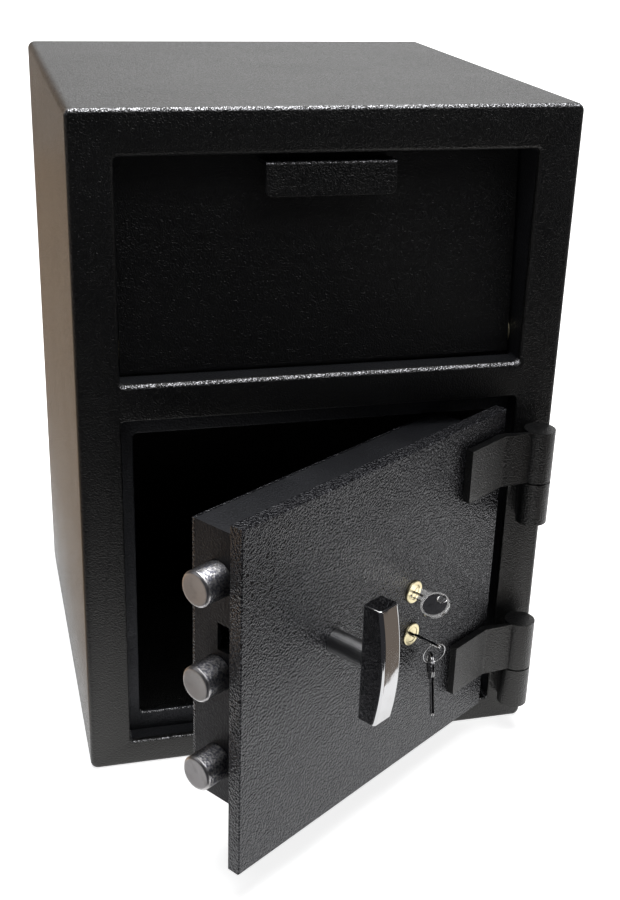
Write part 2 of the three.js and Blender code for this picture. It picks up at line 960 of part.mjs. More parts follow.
// Arched bar: flat behind, bulging in front
function handleBar() {
  const back = doorFront - handle.standOff;
  const front = back - handle.barDepth;
  const half = handle.barLength / 2;
  const bulgeRadius = (half * half + handle.barBulge * handle.barBulge) / (2 * handle.barBulge);
  const sweep = Math.asin(half / bulgeRadius);
  const centre = front - handle.barBulge + bulgeRadius;
  const shape = new THREE.Shape();
  shape.moveTo(back, handleZ - half);
  shape.lineTo(back, handleZ + half);
  shape.absarc(centre, handleZ, bulgeRadius, Math.PI - sweep, Math.PI + sweep, false);
  const from = handleX - handle.barWidth / 2;
  const to = handleX + handle.barWidth / 2;
  return bevelledPrism(shape, "x", from, to, handle.barBevel, 1);
}

function handleSpindle() {
  const front = doorFront - handle.standOff + seatGap;
  const shoulder = crankFront - seatGap;
  const end = crankBack + seatGap + handle.nutThickness;
  return turned(
    "y",
    [
      [0, front],
      [handle.shaftRadius, front],
      [handle.shaftRadius, shoulder],
      [handle.stubRadius, shoulder],
      [handle.stubRadius, end],
      [0, end],
    ],
    handleX,
    handleZ,
  );
}

function drivePinPlace() {
  const start = radians(handle.crankStartAngle);
  return [handleX + handle.crankRadius * Math.cos(start), handleZ + handle.crankRadius * Math.sin(start)];
}

function crankArm() {
  const [pinX, pinZ] = drivePinPlace();
  const shape = new THREE.Shape();
  const start = radians(handle.crankStartAngle);
  const quarter = Math.PI / 2;
  shape.absarc(handleX, handleZ, handle.crankHubRadius, start + quarter, start + 3 * quarter, false);
  shape.absarc(pinX, pinZ, handle.crankTipRadius, start - quarter, start + quarter, false);
  shape.holes.push(disc(handle.stubRadius + seatGap, handleX, handleZ));
  shape.holes.push(disc(handle.pinRadius + seatGap, pinX, pinZ));
  return prism(shape, "y", crankFront, crankBack, { curveSegments: smallRoundSegments });
}

function drivePin() {
  const [x, z] = drivePinPlace();
  return rod("y", handle.pinRadius, crankFront, crankFront + handle.pinLength, x, z, smallRoundSides);
}

function spindleNut() {
  const from = crankBack + seatGap;
  const ring = withHole(
    hexagon(handle.nutAcrossFlats, handleX, handleZ),
    disc(handle.stubRadius + seatGap, handleX, handleZ),
  );
  return prism(ring, "y", from, from + handle.nutThickness, { curveSegments: smallRoundSegments });
}

// Locks and keys, drawn about the lock's own axis with the key lying level

function lockPlug(keyTip) {
  const shoulder = lockBodyEnd + lock.plugTail;
  const plug = turned("y", [
    [0, plugFace],
    [lock.plugRadius, plugFace],
    [lock.plugRadius, shoulder],
    [lock.spindleRadius, shoulder],
    [lock.spindleRadius, camBack + lock.spindleEnd],
    [0, camBack + lock.spindleEnd],
  ]);
  const half = key.bladeWidth / 2 + key.slotGap;
  const halfThick = key.thickness / 2 + key.slotGap;
  return cut(plug, box(-half, half, plugFace - overrun, keyTip + key.slotGap, -halfThick, halfThick));
}

function lockCam(angle) {
  const direction = radians(angle);
  const tip = lock.camReach - lock.camHalfWidth;
  const quarter = Math.PI / 2;
  const narrow = Math.asin(lock.camHalfWidth / lock.camHubRadius);
  const shape = new THREE.Shape();
  shape.absarc(0, 0, lock.camHubRadius, direction + narrow, direction + 2 * Math.PI - narrow, false);
  shape.absarc(
    tip * Math.cos(direction),
    tip * Math.sin(direction),
    lock.camHalfWidth,
    direction - quarter,
    direction + quarter,
    false,
  );
  shape.holes.push(disc(lock.spindleRadius + seatGap));
  return prism(shape, "y", camFront, camBack, { curveSegments: smallRoundSegments });
}

// Flat key in the plane of x and y, with the middle of its bow at the named place and its
// blade pointing to the back
function keyBody(bowMiddle) {
  const tip = bowMiddle + key.bowToTip;
  const half = key.thickness / 2;
  const side = key.bladeWidth / 2;
  const bow = prism(disc(key.bowRadius, key.bowSide, bowMiddle), "z", -half, half, {
    curveSegments: roundSegments,
  });
  const shoulderFrom = tip - key.shoulderFromTip - key.shoulderLength;
  const shoulderSide = key.shoulderWidth / 2;
  const shoulder = box(-shoulderSide, shoulderSide, shoulderFrom, tip - key.shoulderFromTip, -half, half);
  const blade = prism(
    polygon([
      [-side, bowMiddle],
      [side, bowMiddle],
      [side, tip - side / 2],
      [0, tip],
      [-side, tip - side / 2],
    ]),
    "z",
    -half,
    half,
  );
  const notches = [];
  for (let i = 0; i < key.notchCount; i += 1) {
    const from = tip - key.firstNotchFromTip - i * key.notchPitch;
    notches.push(box(side - key.notchDepth, side + overrun, from - key.notchLength, from, -overrun, overrun));
  }
  const holeY = bowMiddle - key.holeOut;
  const hole = rod("z", key.holeRadius, -overrun, overrun, key.holeFromBlade, holeY, smallRoundSides);
  return cut(join(bow, shoulder, blade), hole, ...notches);
}

function lockGroup(name) {
  const { keyAngle, bowFromLock } = lockSettings[name];
  const bowMiddle = lockFace - bowFromLock;
  const group = new THREE.Group();
  group.position.set(lockX, 0, lockHeights[name]);
  group.rotation.y = -radians(keyAngle);
  group.add(
    named(`lock_plug_${name}`, lockPlug(bowMiddle + key.bowToTip), brass),
    named(`lock_cam_${name}`, lockCam(-keyAngle), plainSteel),
    named(`key_${name}`, keyBody(bowMiddle), chrome),
  );
  return group;
}

// Where the hole of the lower key lies in the closed door's coordinates
function lowerKeyHole() {
  const { keyAngle, bowFromLock } = lockSettings.lower;
  return new THREE.Vector3(
    lockX + key.holeFromBlade * Math.cos(radians(keyAngle)),
    lockFace - bowFromLock - key.holeOut,
    lockHeights.lower + key.holeFromBlade * Math.sin(radians(keyAngle)),
  );
}

// Upright ring in the plane of x and z
function ringGeometry() {
  const { radius, wireRadius, wireSides, steps } = keyRing;
  return new THREE.TorusGeometry(radius, wireRadius, wireSides, steps).rotateX(Math.PI / 2);
}

// The spare key, hanging by its hole with its blade down
function spareKeyGeometry() {
  const geometry = keyBody(0);
  geometry.translate(-key.holeFromBlade, key.holeOut, 0);
  geometry.rotateZ(-radians(spareKey.lean));
  geometry.rotateX(-Math.PI / 2);
  return geometry.rotateZ(-Math.PI / 2 - radians(spareKey.turnFromRing));
}

// The ring hangs through the hole of the lower key, and the spare key hangs from the bottom
// of the ring.
function keyRingGroup() {
  const lean = radians(keyRing.lean);
  const aside = radians(keyRing.hangAside);
  const down = new THREE.Vector3(0, Math.sin(lean), -Math.cos(lean));
  const ring = named("key_ring", ringGeometry(), chrome);
  ring.position.copy(down).multiplyScalar(keyRing.radius * Math.cos(aside));
  ring.position.x = keyRing.radius * Math.sin(aside);
  ring.rotation.x = lean;
  const spare = named("spare_key", spareKeyGeometry(), chrome);
  spare.position.copy(ring.position).addScaledVector(down, keyRing.radius);
  spare.position.z -= key.holeRadius - keyRing.wireRadius - key.slotGap;
  const group = new THREE.Group();
  group.position.copy(lowerKeyHole());
  group.rotation.z = -radians(keyRing.turnFromDoor);
  group.add(ring, spare);
  return group;
}

// Deposit drawer pieces, drawn about the pivot with the panel upright

const panelBack = -drawer.panelInFrontOfPivot;
const panelFront = panelBack - drawer.panelThickness;

function drawerPanel() {
  return box(-drawerHalfWidth, drawerHalfWidth, panelFront, panelBack, panelBottom, panelTop);
}

// A hooked strip: level on top, with a lip in front to pull on
function drawerPull() {
  const top = panelTop - drawer.pullBelowTop;
  const bottom = top - drawer.pullHeight;
  const back = panelFront - seatGap;
  const front = panelFront - drawer.pullDepth;
  const section = polygon([
    [back, top],
    [front, top],
    [front, bottom],
    [front + drawer.pullSheet, bottom],
    [front + drawer.pullSheet, top - drawer.pullSheet],
    [back, top - drawer.pullSheet],
  ]);
  const half = drawer.pullWidth / 2;
  const radius = drawer.pullCornerRadius;
  const outline = rectangle(-half, half, bottom, top + 2 * radius, radius);
  return common(
    prism(section, "x", -half, half),
    prism(outline, "y", front - overrun, back + overrun),
  );
}

// A quadrant that closes the drawer's side
function drawerCheek(side) {
  const topAngle = radians(drawer.cheekTopAngle);
  const floorAngle = radians(drawer.floorAngle);
  const front = panelBack + seatGap;
  const shape = new THREE.Shape();
  shape.moveTo(front, panelBottom);
  shape.lineTo(front, panelTop);
  shape.lineTo(front + drawer.panelThickness, panelTop);
  shape.absarc(0, 0, cheekRadius, topAngle, floorAngle, true);
  shape.lineTo(drawer.bushFlangeRadius, panelBottom);
  shape.holes.push(disc(drawer.bushRadius + seatGap));
  const outside = drawerHalfWidth;
  const inside = outside - drawer.cheekThickness;
  const from = side > 0 ? inside : -outside;
  return prism(shape, "x", from, from + drawer.cheekThickness, { curveSegments: smallRoundSegments });
}

function drawerBush(side) {
  const outside = drawerHalfWidth;
  const inside = outside - drawer.cheekThickness - drawer.bushInside;
  const flangeFrom = outside + seatGap;
  const sleeve = turned(
    "x",
    [
      [0, inside],
      [drawer.bushRadius, inside],
      [drawer.bushRadius, flangeFrom],
      [drawer.bushFlangeRadius, flangeFrom],
      [drawer.bushFlangeRadius, flangeFrom + drawer.bushFlangeThickness],
      [0, flangeFrom + drawer.bushFlangeThickness],
    ],
    0,
    0,
    smallRoundSides,
  );
  const bore = rod("x", drawer.pinRadius + runningGap, 0, halfWidth, 0, 0, smallRoundSides);
  const bush = cut(sleeve, bore);
  if (side < 0) bush.rotateZ(Math.PI);
  return bush;
}

// Sheet that carries a deposit while the drawer is open and tips it off when it is shut
function drawerFloor() {
  const angle = radians(drawer.floorAngle);
  const front = panelBack + seatGap;
  const endY = cheekRadius * Math.cos(angle);
  const endZ = cheekRadius * Math.sin(angle);
  const shape = polygon([
    [front, panelBottom],
    [front, panelBottom + drawer.floorThickness],
    [endY, endZ + drawer.floorThickness],
    [endY, endZ],
  ]);
  const half = drawerHalfWidth - drawer.cheekThickness - seatGap;
  return prism(shape, "x", -half, half);
}

// Assembly

function cabinetGroup() {
  const group = new THREE.Group();
  group.add(
    named("body_shell", bodyShell(), bodyPaint),
    named("front_frame", frontFrame(), bodyPaint),
    named("back_panel", backPanel(), bodyPaint),
    named("door_stop_frame", doorStopFrame(), innerPaint),
    named("drawer_surround", drawerSurround(), innerPaint),
    named("fish_baffle", fishBaffle(), innerPaint),
    named("drawer_pivot_pin_left", pivotPin(-1), plainSteel),
    named("drawer_pivot_pin_right", pivotPin(1), plainSteel),
  );
  for (const [name, strapBottom] of hingeLevels()) {
    const knuckleTop = strapBottom - hinge.washerThickness - runningGap;
    group.add(
      named(`hinge_knuckle_${name}`, fixedKnuckle(knuckleTop), bodyPaint),
      named(`hinge_washer_${name}`, hingeWasher(knuckleTop), plainSteel),
      named(`hinge_pin_${name}`, hingePin(knuckleTop), plainSteel),
    );
  }
  return group;
}

function hingeLevels() {
  return [
    ["upper", doorTop - hinge.upperStrapBelowDoorTop - hinge.strapHeight],
    ["lower", doorBottom + hinge.lowerStrapAboveDoor],
  ];
}

function drawerGroup() {
  const group = new THREE.Group();
  group.position.set(0, drawer.pivotBehindFront, drawerPivotZ);
  group.rotation.x = -radians(drawer.leanAngle);
  group.add(
    named("drawer_panel", drawerPanel(), bodyPaint),
    named("drawer_pull", drawerPull(), bodyPaint),
    named("drawer_floor", drawerFloor(), innerPaint),
    named("drawer_cheek_left", drawerCheek(-1), innerPaint),
    named("drawer_cheek_right", drawerCheek(1), innerPaint),
    named("drawer_bush_left", drawerBush(-1), brass),
    named("drawer_bush_right", drawerBush(1), brass),
  );
  return group;
}

function doorPieces() {
  const group = new THREE.Group();
  group.add(
    named("door_plate", doorPlate(), doorPaint),
    named("bolt_box", boltBoxFrame(), doorPaint),
    named("bolt_box_cover", boltBoxCover(), doorPaint),
    named("bolt_guide", boltGuide(), plainSteel),
    named("spindle_bush", spindleBush(), plainSteel),
  );
  screwPlaces().forEach(([x, z], i) => {
    group.add(named(`cover_screw_${i + 1}`, coverScrew(x, z), plainSteel));
  });
  for (const [name, strapBottom] of hingeLevels()) {
    group.add(named(`hinge_strap_${name}`, hingeStrap(strapBottom), doorPaint));
  }
  for (const [name, z] of Object.entries(lockHeights)) {
    group.add(
      named(`lock_body_${name}`, lockBody(z), brass),
      named(`lock_nut_${name}`, lockNut(z), plainSteel),
    );
  }
  return group;
}

function boltWork() {
  const group = new THREE.Group();
  const names = ["lower", "middle", "upper"];
  boltHeights.forEach((z, i) => {
    group.add(
      named(`bolt_${names[i]}`, slidingBolt(z), boltSteel),
      named(`bolt_nut_${names[i]}`, boltNut(z), plainSteel),
    );
  });
  group.add(
    named("bolt_carrier", boltCarrier(), plainSteel),
    named("drive_plate", drivePlate(), plainSteel),
  );
  return group;
}

function handleGroup() {
  const group = new THREE.Group();
  group.add(
    named("handle_bar", handleBar(), chrome),
    named("handle_spindle", handleSpindle(), chrome),
    named("crank_arm", crankArm(), plainSteel),
    named("drive_pin", drivePin(), plainSteel),
    named("spindle_nut", spindleNut(), plainSteel),
  );
  return group;
}

// Everything on the door, drawn closed, turned about the hinge to where it stands open
function doorGroup() {
  const swing = new THREE.Group();
  swing.position.set(hingeX, hingeY, 0);
  swing.rotation.z = radians(door.openAngle);
  const closed = new THREE.Group();
  closed.position.set(-hingeX, -hingeY, 0);
  closed.add(
    doorPieces(),
    boltWork(),
    handleGroup(),
    lockGroup("upper"),
    lockGroup("lower"),
    keyRingGroup(),
  );
  swing.add(closed);
  return swing;
}

const safe = new THREE.Group();
const fromFront = new THREE.Group();
fromFront.position.y = -cabinet.depth / 2;
fromFront.add(cabinetGroup(), drawerGroup(), doorGroup());
safe.add(fromFront);

export default safe;
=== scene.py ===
import json
from math import cos, pi, radians, sin, sqrt

import bmesh
import bpy
from mathutils import Matrix, Vector


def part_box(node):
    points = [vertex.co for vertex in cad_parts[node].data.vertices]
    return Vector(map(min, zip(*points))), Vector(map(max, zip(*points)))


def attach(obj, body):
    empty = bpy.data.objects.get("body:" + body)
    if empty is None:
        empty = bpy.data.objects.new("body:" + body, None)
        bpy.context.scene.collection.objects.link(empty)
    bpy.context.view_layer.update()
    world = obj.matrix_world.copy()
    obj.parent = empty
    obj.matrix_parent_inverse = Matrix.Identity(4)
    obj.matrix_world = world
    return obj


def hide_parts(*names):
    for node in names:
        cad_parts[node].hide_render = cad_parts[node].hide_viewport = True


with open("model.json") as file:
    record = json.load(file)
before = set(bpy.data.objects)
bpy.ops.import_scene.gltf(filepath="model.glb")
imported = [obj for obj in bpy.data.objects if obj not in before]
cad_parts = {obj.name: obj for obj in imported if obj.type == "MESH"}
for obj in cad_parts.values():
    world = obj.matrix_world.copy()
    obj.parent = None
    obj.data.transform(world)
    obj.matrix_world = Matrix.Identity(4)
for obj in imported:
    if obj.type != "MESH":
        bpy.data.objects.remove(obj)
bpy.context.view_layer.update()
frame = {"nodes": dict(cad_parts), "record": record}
nodes = frame["nodes"]
mm = 0.001
print("frame loaded:", len(nodes), "nodes")


# ---- camera and light

camera = {
    "position": (-0.2471, -1.0445, 0.6475),
    "turn": 15.26,  # degrees from straight back towards the right
    "tip": -23.4,
    "roll": 1.88,
    "sensorHeight": 36,
    "lens": 53.08,
}


def addCamera():
    turn, tip, roll = (radians(camera[part]) for part in ("turn", "tip", "roll"))
    ahead = Vector((sin(turn) * cos(tip), cos(turn) * cos(tip), sin(tip)))
    level = Vector((cos(turn), -sin(turn), 0))
    above = level.cross(ahead)
    right = cos(roll) * level + sin(roll) * above
    up = cos(roll) * above - sin(roll) * level
    data = bpy.data.cameras.new("photoCamera")
    data.sensor_fit = "VERTICAL"
    data.sensor_height = camera["sensorHeight"]
    data.lens = camera["lens"]
    made = bpy.data.objects.new("photoCamera", data)
    bpy.context.scene.collection.objects.link(made)
    made.matrix_world = Matrix((right, up, -ahead)).transposed().to_4x4()
    made.location = camera["position"]
    bpy.context.scene.camera = made


lamps = {
    "overheadLamp": {"at": (0.0, -0.05, 1.9), "size": (1.4, 1.5), "power": 34},
    "backLamp": {"at": (0.7, 1.9, 2.0), "size": (1.0, 1.0), "power": 8},
}
aimedAt = Vector((0, -0.05, 0.25))


def addLamps():
    for name, lamp in lamps.items():
        data = bpy.data.lights.new(name, "AREA")
        data.shape = "RECTANGLE"
        data.size, data.size_y = lamp["size"]
        data.energy = lamp["power"]
        made = bpy.data.objects.new(name, data)
        bpy.context.scene.collection.objects.link(made)
        made.location = lamp["at"]
        made.rotation_euler = (aimedAt - Vector(lamp["at"])).to_track_quat("-Z", "Y").to_euler()


# ---- shader maths


class Wire:
    # one output of a shader node, which can stand in sums
    def __init__(self, finish, socket):
        self.finish = finish
        self.socket = socket

    def joined(self, operation, first, second):
        return self.finish.node("ShaderNodeMath", {"operation": operation}, [first, second])

    def __add__(self, other):
        return self.joined("ADD", self, other)

    def __radd__(self, other):
        return self.joined("ADD", other, self)

    def __rsub__(self, other):
        return self.joined("SUBTRACT", other, self)

    def __mul__(self, other):
        return self.joined("MULTIPLY", self, other)

    def __rmul__(self, other):
        return self.joined("MULTIPLY", other, self)

    def __pow__(self, other):
        return self.joined("POWER", self, other)


class Finish:
    # a material and the shader nodes that feed its surface
    def __init__(self, name, constants):
        self.material = bpy.data.materials.new(name)
        self.material.use_nodes = True
        self.tree = self.material.node_tree
        self.shader = self.tree.nodes["Principled BSDF"]
        for socket, value in constants.items():
            self.shader.inputs[socket].default_value = value
        self.place = self.node("ShaderNodeTexCoord", output="Object")

    def node(self, kind, settings=None, sockets=None, output=0):
        made = self.tree.nodes.new(kind)
        for name, value in (settings or {}).items():
            setattr(made, name, value)
        pairs = sockets.items() if isinstance(sockets, dict) else enumerate(sockets or [])
        for key, value in pairs:
            self.feed(made.inputs[key], value)
        return Wire(self, made.outputs[output])

    def feed(self, socket, value):
        if isinstance(value, Wire):
            self.tree.links.new(value.socket, socket)
        else:
            socket.default_value = value

    def rise(self, value, low, high, start=0.0, end=1.0):
        # from start to end as value goes from low to high, smoothly
        return self.node(
            "ShaderNodeMapRange",
            {"interpolation_type": "SMOOTHSTEP"},
            {"Value": value, "From Min": low, "From Max": high, "To Min": start, "To Max": end},
        )

    def blend(self, first, second, share):
        # index 6 and 7 are the colour inputs, output 2 the colour result
        return self.node("ShaderNodeMix", {"data_type": "RGBA"}, {0: share, 6: first, 7: second}, 2)

    def noise(self, size, detail, place=None):
        # size is about how far apart the grains are, in metres
        sockets = {"Vector": place or self.place, "Scale": 1 / size, "Detail": detail}
        return self.node("ShaderNodeTexNoise", None, sockets)

    def spots(self, size, detail, low, high):
        # noise that goes from 0 to 1 between two of its own levels
        return self.rise(self.noise(size, detail), low, high)

    def cells(self, size, smoothness):
        sockets = {"Vector": self.place, "Scale": 1 / size, "Smoothness": smoothness}
        return self.node("ShaderNodeTexVoronoi", {"feature": "SMOOTH_F1"}, sockets)

    def reach(self, vector, axis):
        # how far a vector goes along an axis
        return self.node("ShaderNodeVectorMath", {"operation": "DOT_PRODUCT"}, [vector, axis], 1)

    def along(self, axis, about=(0, 0, 0)):
        # distance along an axis through a point
        away = self.node("ShaderNodeVectorMath", {"operation": "SUBTRACT"}, [self.place, about])
        return self.reach(away, axis)

    def facing(self, direction):
        # 1 where the surface, before any bump, faces that direction
        return self.reach(self.node("ShaderNodeTexCoord", output="Normal"), direction)

    def bump(self, height, depth):
        sockets = {"Height": height, "Distance": depth, "Strength": 1.0}
        self.wear(Normal=self.node("ShaderNodeBump", None, sockets))

    def wear(self, **sockets):
        for name, value in sockets.items():
            self.feed(self.shader.inputs[name.replace("_", " ")], value)


def colour(red, green, blue):
    return (red, green, blue, 1.0)


# ---- finishes

paintLooks = {
    "cabinetPaint": {
        "colour": colour(0.0032, 0.0034, 0.0038),
        "faded": colour(0.0046, 0.0048, 0.0052),
        "roughness": (0.285, 0.305),
        "grain": 1.9 * mm,
        "depth": 0.62 * mm,
        "fine": 0.8,
        "speck": 0.07,
        "gloss": 0.5,
        "sheen": colour(1.0, 0.985, 0.955),
    },
    "doorPaint": {
        "colour": colour(0.0065, 0.0065, 0.008),
        "faded": colour(0.0105, 0.0105, 0.0127),
        "roughness": (0.21, 0.26),
        "grain": 2.6 * mm,
        "depth": 0.62 * mm,
        "fine": 0.2,
        "speck": 0.04,
        "gloss": 0.62,
        "sheen": colour(0.93, 0.94, 1.0),
    },
    "innerPaint": {
        "colour": colour(0.004, 0.0045, 0.0058),
        "faded": colour(0.0065, 0.007, 0.0085),
        "roughness": (0.5, 0.65),
        "grain": 2.4 * mm,
        "depth": 0.18 * mm,
        "fine": 0.25,
        "speck": 0.1,
        "gloss": 0.5,
        "sheen": colour(0.93, 0.94, 1.0),
    },
}

# shared by the paints; spots are size, detail and the two levels that they rise between
coatLook = {
    "grain": (0.62, 1.0, 0.3, 0.7),  # this size and the next two are shares of the paint's grain
    "wave": 1.6,
    "pimple": 0.7,
    "patches": (60 * mm, 3.0, 0.35, 0.68),
    "specks": (1.7 * mm, 1.0, 0.5, 0.62),
    "patchShade": 0.7,
    "speckShade": 0.3,
    "waveHeight": 0.3,
}
# painted highlight: bright bare metal on folds turned partly up, where overhead light would catch
# them, from where a fold leaves the front to where it meets the top
foldHighlightLook = {
    "metal": colour(0.62, 0.62, 0.64),
    "roughness": 0.42,
    "spots": (0.75 * mm, 1.0, 0.5, 0.6),
    "leave": (0.2, 0.5),
    "meet": (0.9, 0.985),
}


def texturedPaint(name, relief=1.0, highlightedFolds=False):
    # powder coat: rounded grains like orange peel, with fine pimples on them, and where asked a
    # painted highlight of bright metal on its upward folds
    look, coat = paintLooks[name], coatLook
    constants = {"Specular IOR Level": look["gloss"], "Specular Tint": look["sheen"]}
    paint = Finish(f"{name}FoldHighlights" if highlightedFolds else name, constants)
    size, *levels = coat["grain"]
    grains = paint.spots(look["grain"] * size, *levels)
    waves = paint.noise(look["grain"] * coat["wave"], 1.0)
    pimples = paint.noise(look["grain"] * coat["pimple"], 1.0)
    patches = paint.spots(*coat["patches"])
    specks = paint.spots(*coat["specks"])
    faded = patches * coat["patchShade"] + specks * coat["speckShade"]
    shade = paint.blend(look["colour"], look["faded"], faded)
    smooth, rough = look["roughness"]
    roughness = smooth + (rough - smooth) * patches + specks * look["speck"]
    # painted highlight: bright metal spots where a fold turns from the front to the top
    if highlightedFolds:
        upwards = paint.facing((0, 0, 1))
        offFront = paint.rise(upwards, *foldHighlightLook["leave"])
        belowTop = paint.rise(upwards, *foldHighlightLook["meet"], 1.0, 0.0)
        brightMetal = offFront * belowTop * paint.spots(*foldHighlightLook["spots"])
        shade = paint.blend(shade, foldHighlightLook["metal"], brightMetal)
        roughness = roughness + (foldHighlightLook["roughness"] - roughness) * brightMetal
        paint.wear(Metallic=brightMetal)
    paint.wear(Base_Color=shade, Roughness=roughness)
    height = grains + waves * coat["waveHeight"] + pimples * look["fine"]
    paint.bump(height, look["depth"] * relief)
    return paint.material


chromeLook = {
    "colour": colour(0.48, 0.48, 0.487),
    "smudged": colour(0.4, 0.395, 0.39),
    "film": (14 * mm, 3.0, 0.42, 0.7),
    "filmShade": 0.35,
    "dots": (1.3 * mm, 2.0, 0.62, 0.7),
    "dotRoughness": 0.05,
    "dent": 9 * mm,
    "dentDepth": 0.08 * mm,
}


def brightPlate(name, roughness, smudge):
    look = chromeLook
    plate = Finish(name, {"Metallic": 1.0})
    film = plate.spots(*look["film"])
    dots = plate.spots(*look["dots"])
    plate.wear(
        Base_Color=plate.blend(look["colour"], look["smudged"], film * look["filmShade"]),
        Roughness=roughness + smudge * film + dots * look["dotRoughness"],
    )
    plate.bump(plate.noise(look["dent"], 1.0), look["dentDepth"])
    return plate.material


doorAngle = 34  # degrees open in the photograph
doorTurn = radians(doorAngle)
doorRight = Vector((cos(doorTurn), sin(doorTurn), 0))  # along the open door, towards the hinges

boltLook = {
    "colour": colour(0.58, 0.57, 0.57),
    "dull": colour(0.36, 0.35, 0.345),
    "film": colour(0.11, 0.115, 0.15),
    "lathe": 0.45 * mm,
    "stain": (9 * mm, 4.0, 0.45, 0.72),
    "mottle": (1.7 * mm, 3.0, 0.38, 0.62),
    "mottleFrom": (1.6 * mm, 2.4 * mm),  # back from the face
    "stainShade": 0.5,
    "ringShade": 0.25,
    "filmShade": 0.9,
    "roughness": 0.24,
    "ringRoughness": 0.12,
    "stainRoughness": 0.1,
    "filmRoughness": 0.14,
    "ringHeight": 0.4,
    "depth": 0.07 * mm,
}


def turnedSteel(name, faceMiddle):
    # fine lathe rings round the bolts' own direction, and a mottled film on their sides
    look = boltLook
    steel = Finish(name, {"Metallic": 1.0})
    reach = steel.along(tuple(doorRight), tuple(faceMiddle))
    ringPlace = steel.node("ShaderNodeCombineXYZ", None, [reach, 0.0, 0.0])
    rings = steel.noise(look["lathe"], 3.0, ringPlace)
    stain = steel.spots(*look["stain"])
    film = steel.spots(*look["mottle"]) * steel.rise(reach, *look["mottleFrom"])
    dulled = stain * look["stainShade"] + rings * look["ringShade"]
    shade = steel.blend(look["colour"], look["dull"], dulled)
    roughness = look["roughness"] + rings * look["ringRoughness"] + stain * look["stainRoughness"]
    steel.wear(
        Base_Color=steel.blend(shade, look["film"], film * look["filmShade"]),
        Roughness=roughness + film * look["filmRoughness"],
    )
    steel.bump(rings * look["ringHeight"] + film, look["depth"])
    return steel.material


zincLook = {
    "colour": colour(0.46, 0.46, 0.47),
    "dull": colour(0.28, 0.275, 0.27),
    "spangle": (3.5 * mm, 0.4),  # size and smoothness
    "stain": (12 * mm, 4.0, 0.4, 0.7),
    "stainShade": 0.6,
    "roughness": 0.36,
    "spangleRoughness": 0.1,
    "stainRoughness": 0.15,
    "pit": 0.7 * mm,
    "depth": 0.05 * mm,
}


def zincSteel(name):
    look = zincLook
    steel = Finish(name, {"Metallic": 1.0})
    spangle = steel.cells(*look["spangle"])
    stain = steel.spots(*look["stain"])
    roughness = look["roughness"] + spangle * look["spangleRoughness"]
    steel.wear(
        Base_Color=steel.blend(look["colour"], look["dull"], stain * look["stainShade"]),
        Roughness=roughness + stain * look["stainRoughness"],
    )
    steel.bump(steel.noise(look["pit"], 2.0), look["depth"])
    return steel.material


brassLook = {
    "colour": colour(0.86, 0.77, 0.5),
    "dull": colour(0.62, 0.53, 0.31),
    "turning": 0.32 * mm,
    "stain": (4 * mm, 3.0, 0.5, 0.75),
    "stainShade": 0.5,
    "ringShade": 0.12,
    "roughness": 0.3,
    "ringRoughness": 0.16,
    "stainRoughness": 0.1,
    "depth": 0.03 * mm,
}


def polishedBrass(name, centre):
    # turned rings round each lock's own middle
    look = brassLook
    brass = Finish(name, {"Metallic": 1.0})
    aside = brass.along(tuple(doorRight), tuple(centre))
    above = brass.along((0, 0, 1), tuple(centre))
    reach = (aside * aside + above * above) ** 0.5
    ringPlace = brass.node("ShaderNodeCombineXYZ", None, [reach, 0.0, 0.0])
    rings = brass.noise(look["turning"], 2.0, ringPlace)
    stain = brass.spots(*look["stain"])
    dulled = stain * look["stainShade"] + rings * look["ringShade"]
    roughness = look["roughness"] + rings * look["ringRoughness"]
    brass.wear(
        Base_Color=brass.blend(look["colour"], look["dull"], dulled),
        Roughness=roughness + stain * look["stainRoughness"],
    )
    brass.bump(rings, look["depth"])
    return brass.material


# ---- placing on the door, which is drawn closed and then swung open

hingeAxis = Vector((165, -193, 0)) * mm
frontY = -180  # millimetres, the cabinet's front face
toHinge = Matrix.Translation(hingeAxis)
doorSwing = toHinge @ Matrix.Rotation(doorTurn, 4, "Z") @ toHinge.inverted()


def placeOnDoor(x, y, z):
    # millimetres, y counted back from the cabinet's front face
    return doorSwing @ Matrix.Translation(Vector((x, frontY + y, z)) * mm)


lockMiddle = {"upper": (38, 1.5, 173), "lower": (38, 1.5, 137.5)}

cabinetPaint = texturedPaint("cabinetPaint")
# the next two paints carry the painted highlight on upward folds
foldHighlightPaint = texturedPaint("cabinetPaint", relief=0.35, highlightedFolds=True)
stopFoldHighlightPaint = texturedPaint("innerPaint", highlightedFolds=True)
doorPaint = texturedPaint("doorPaint")
innerPaint = texturedPaint("innerPaint")
handleChrome = brightPlate("handleChrome", roughness=0.05, smudge=0.07)
spindleSteel = brightPlate("spindleSteel", roughness=0.3, smudge=0.1)
zinc = zincSteel("zincSteel")
lockBrass = {}
for level, middle in lockMiddle.items():
    lockBrass[level] = polishedBrass(f"lockBrass_{level}", placeOnDoor(*middle).translation)
print("finishes made")


# ---- mesh helpers

# how meshes are read: distances in metres, angles in degrees
meshCare = {"weld": 0.001 * mm, "onPlane": 0.01 * mm, "flat": 1, "corner": 40, "softShading": 50}


def addPiece(name, mesh, material, body, slot, *replaced):
    made = bpy.data.objects.new(name, mesh)
    bpy.context.scene.collection.objects.link(made)
    mesh.materials.clear()
    mesh.materials.append(material)
    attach(made, body)
    if replaced:
        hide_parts(*replaced)
    return made


def meshFrom(shape, name, place=None, smooth=True):
    # ends a bmesh and gives its mesh
    bmesh.ops.recalc_face_normals(shape, faces=shape.faces)
    mesh = bpy.data.meshes.new(name)
    shape.to_mesh(mesh)
    shape.free()
    if place:
        mesh.transform(place)
    for face in mesh.polygons:
        face.use_smooth = smooth
    return mesh


def rounded(made, width, segments=3, angle=30):
    edge = made.modifiers.new("roundedEdges", "BEVEL")
    edge.limit_method = "ANGLE"
    edge.angle_limit = radians(angle)
    edge.width = width
    edge.segments = segments


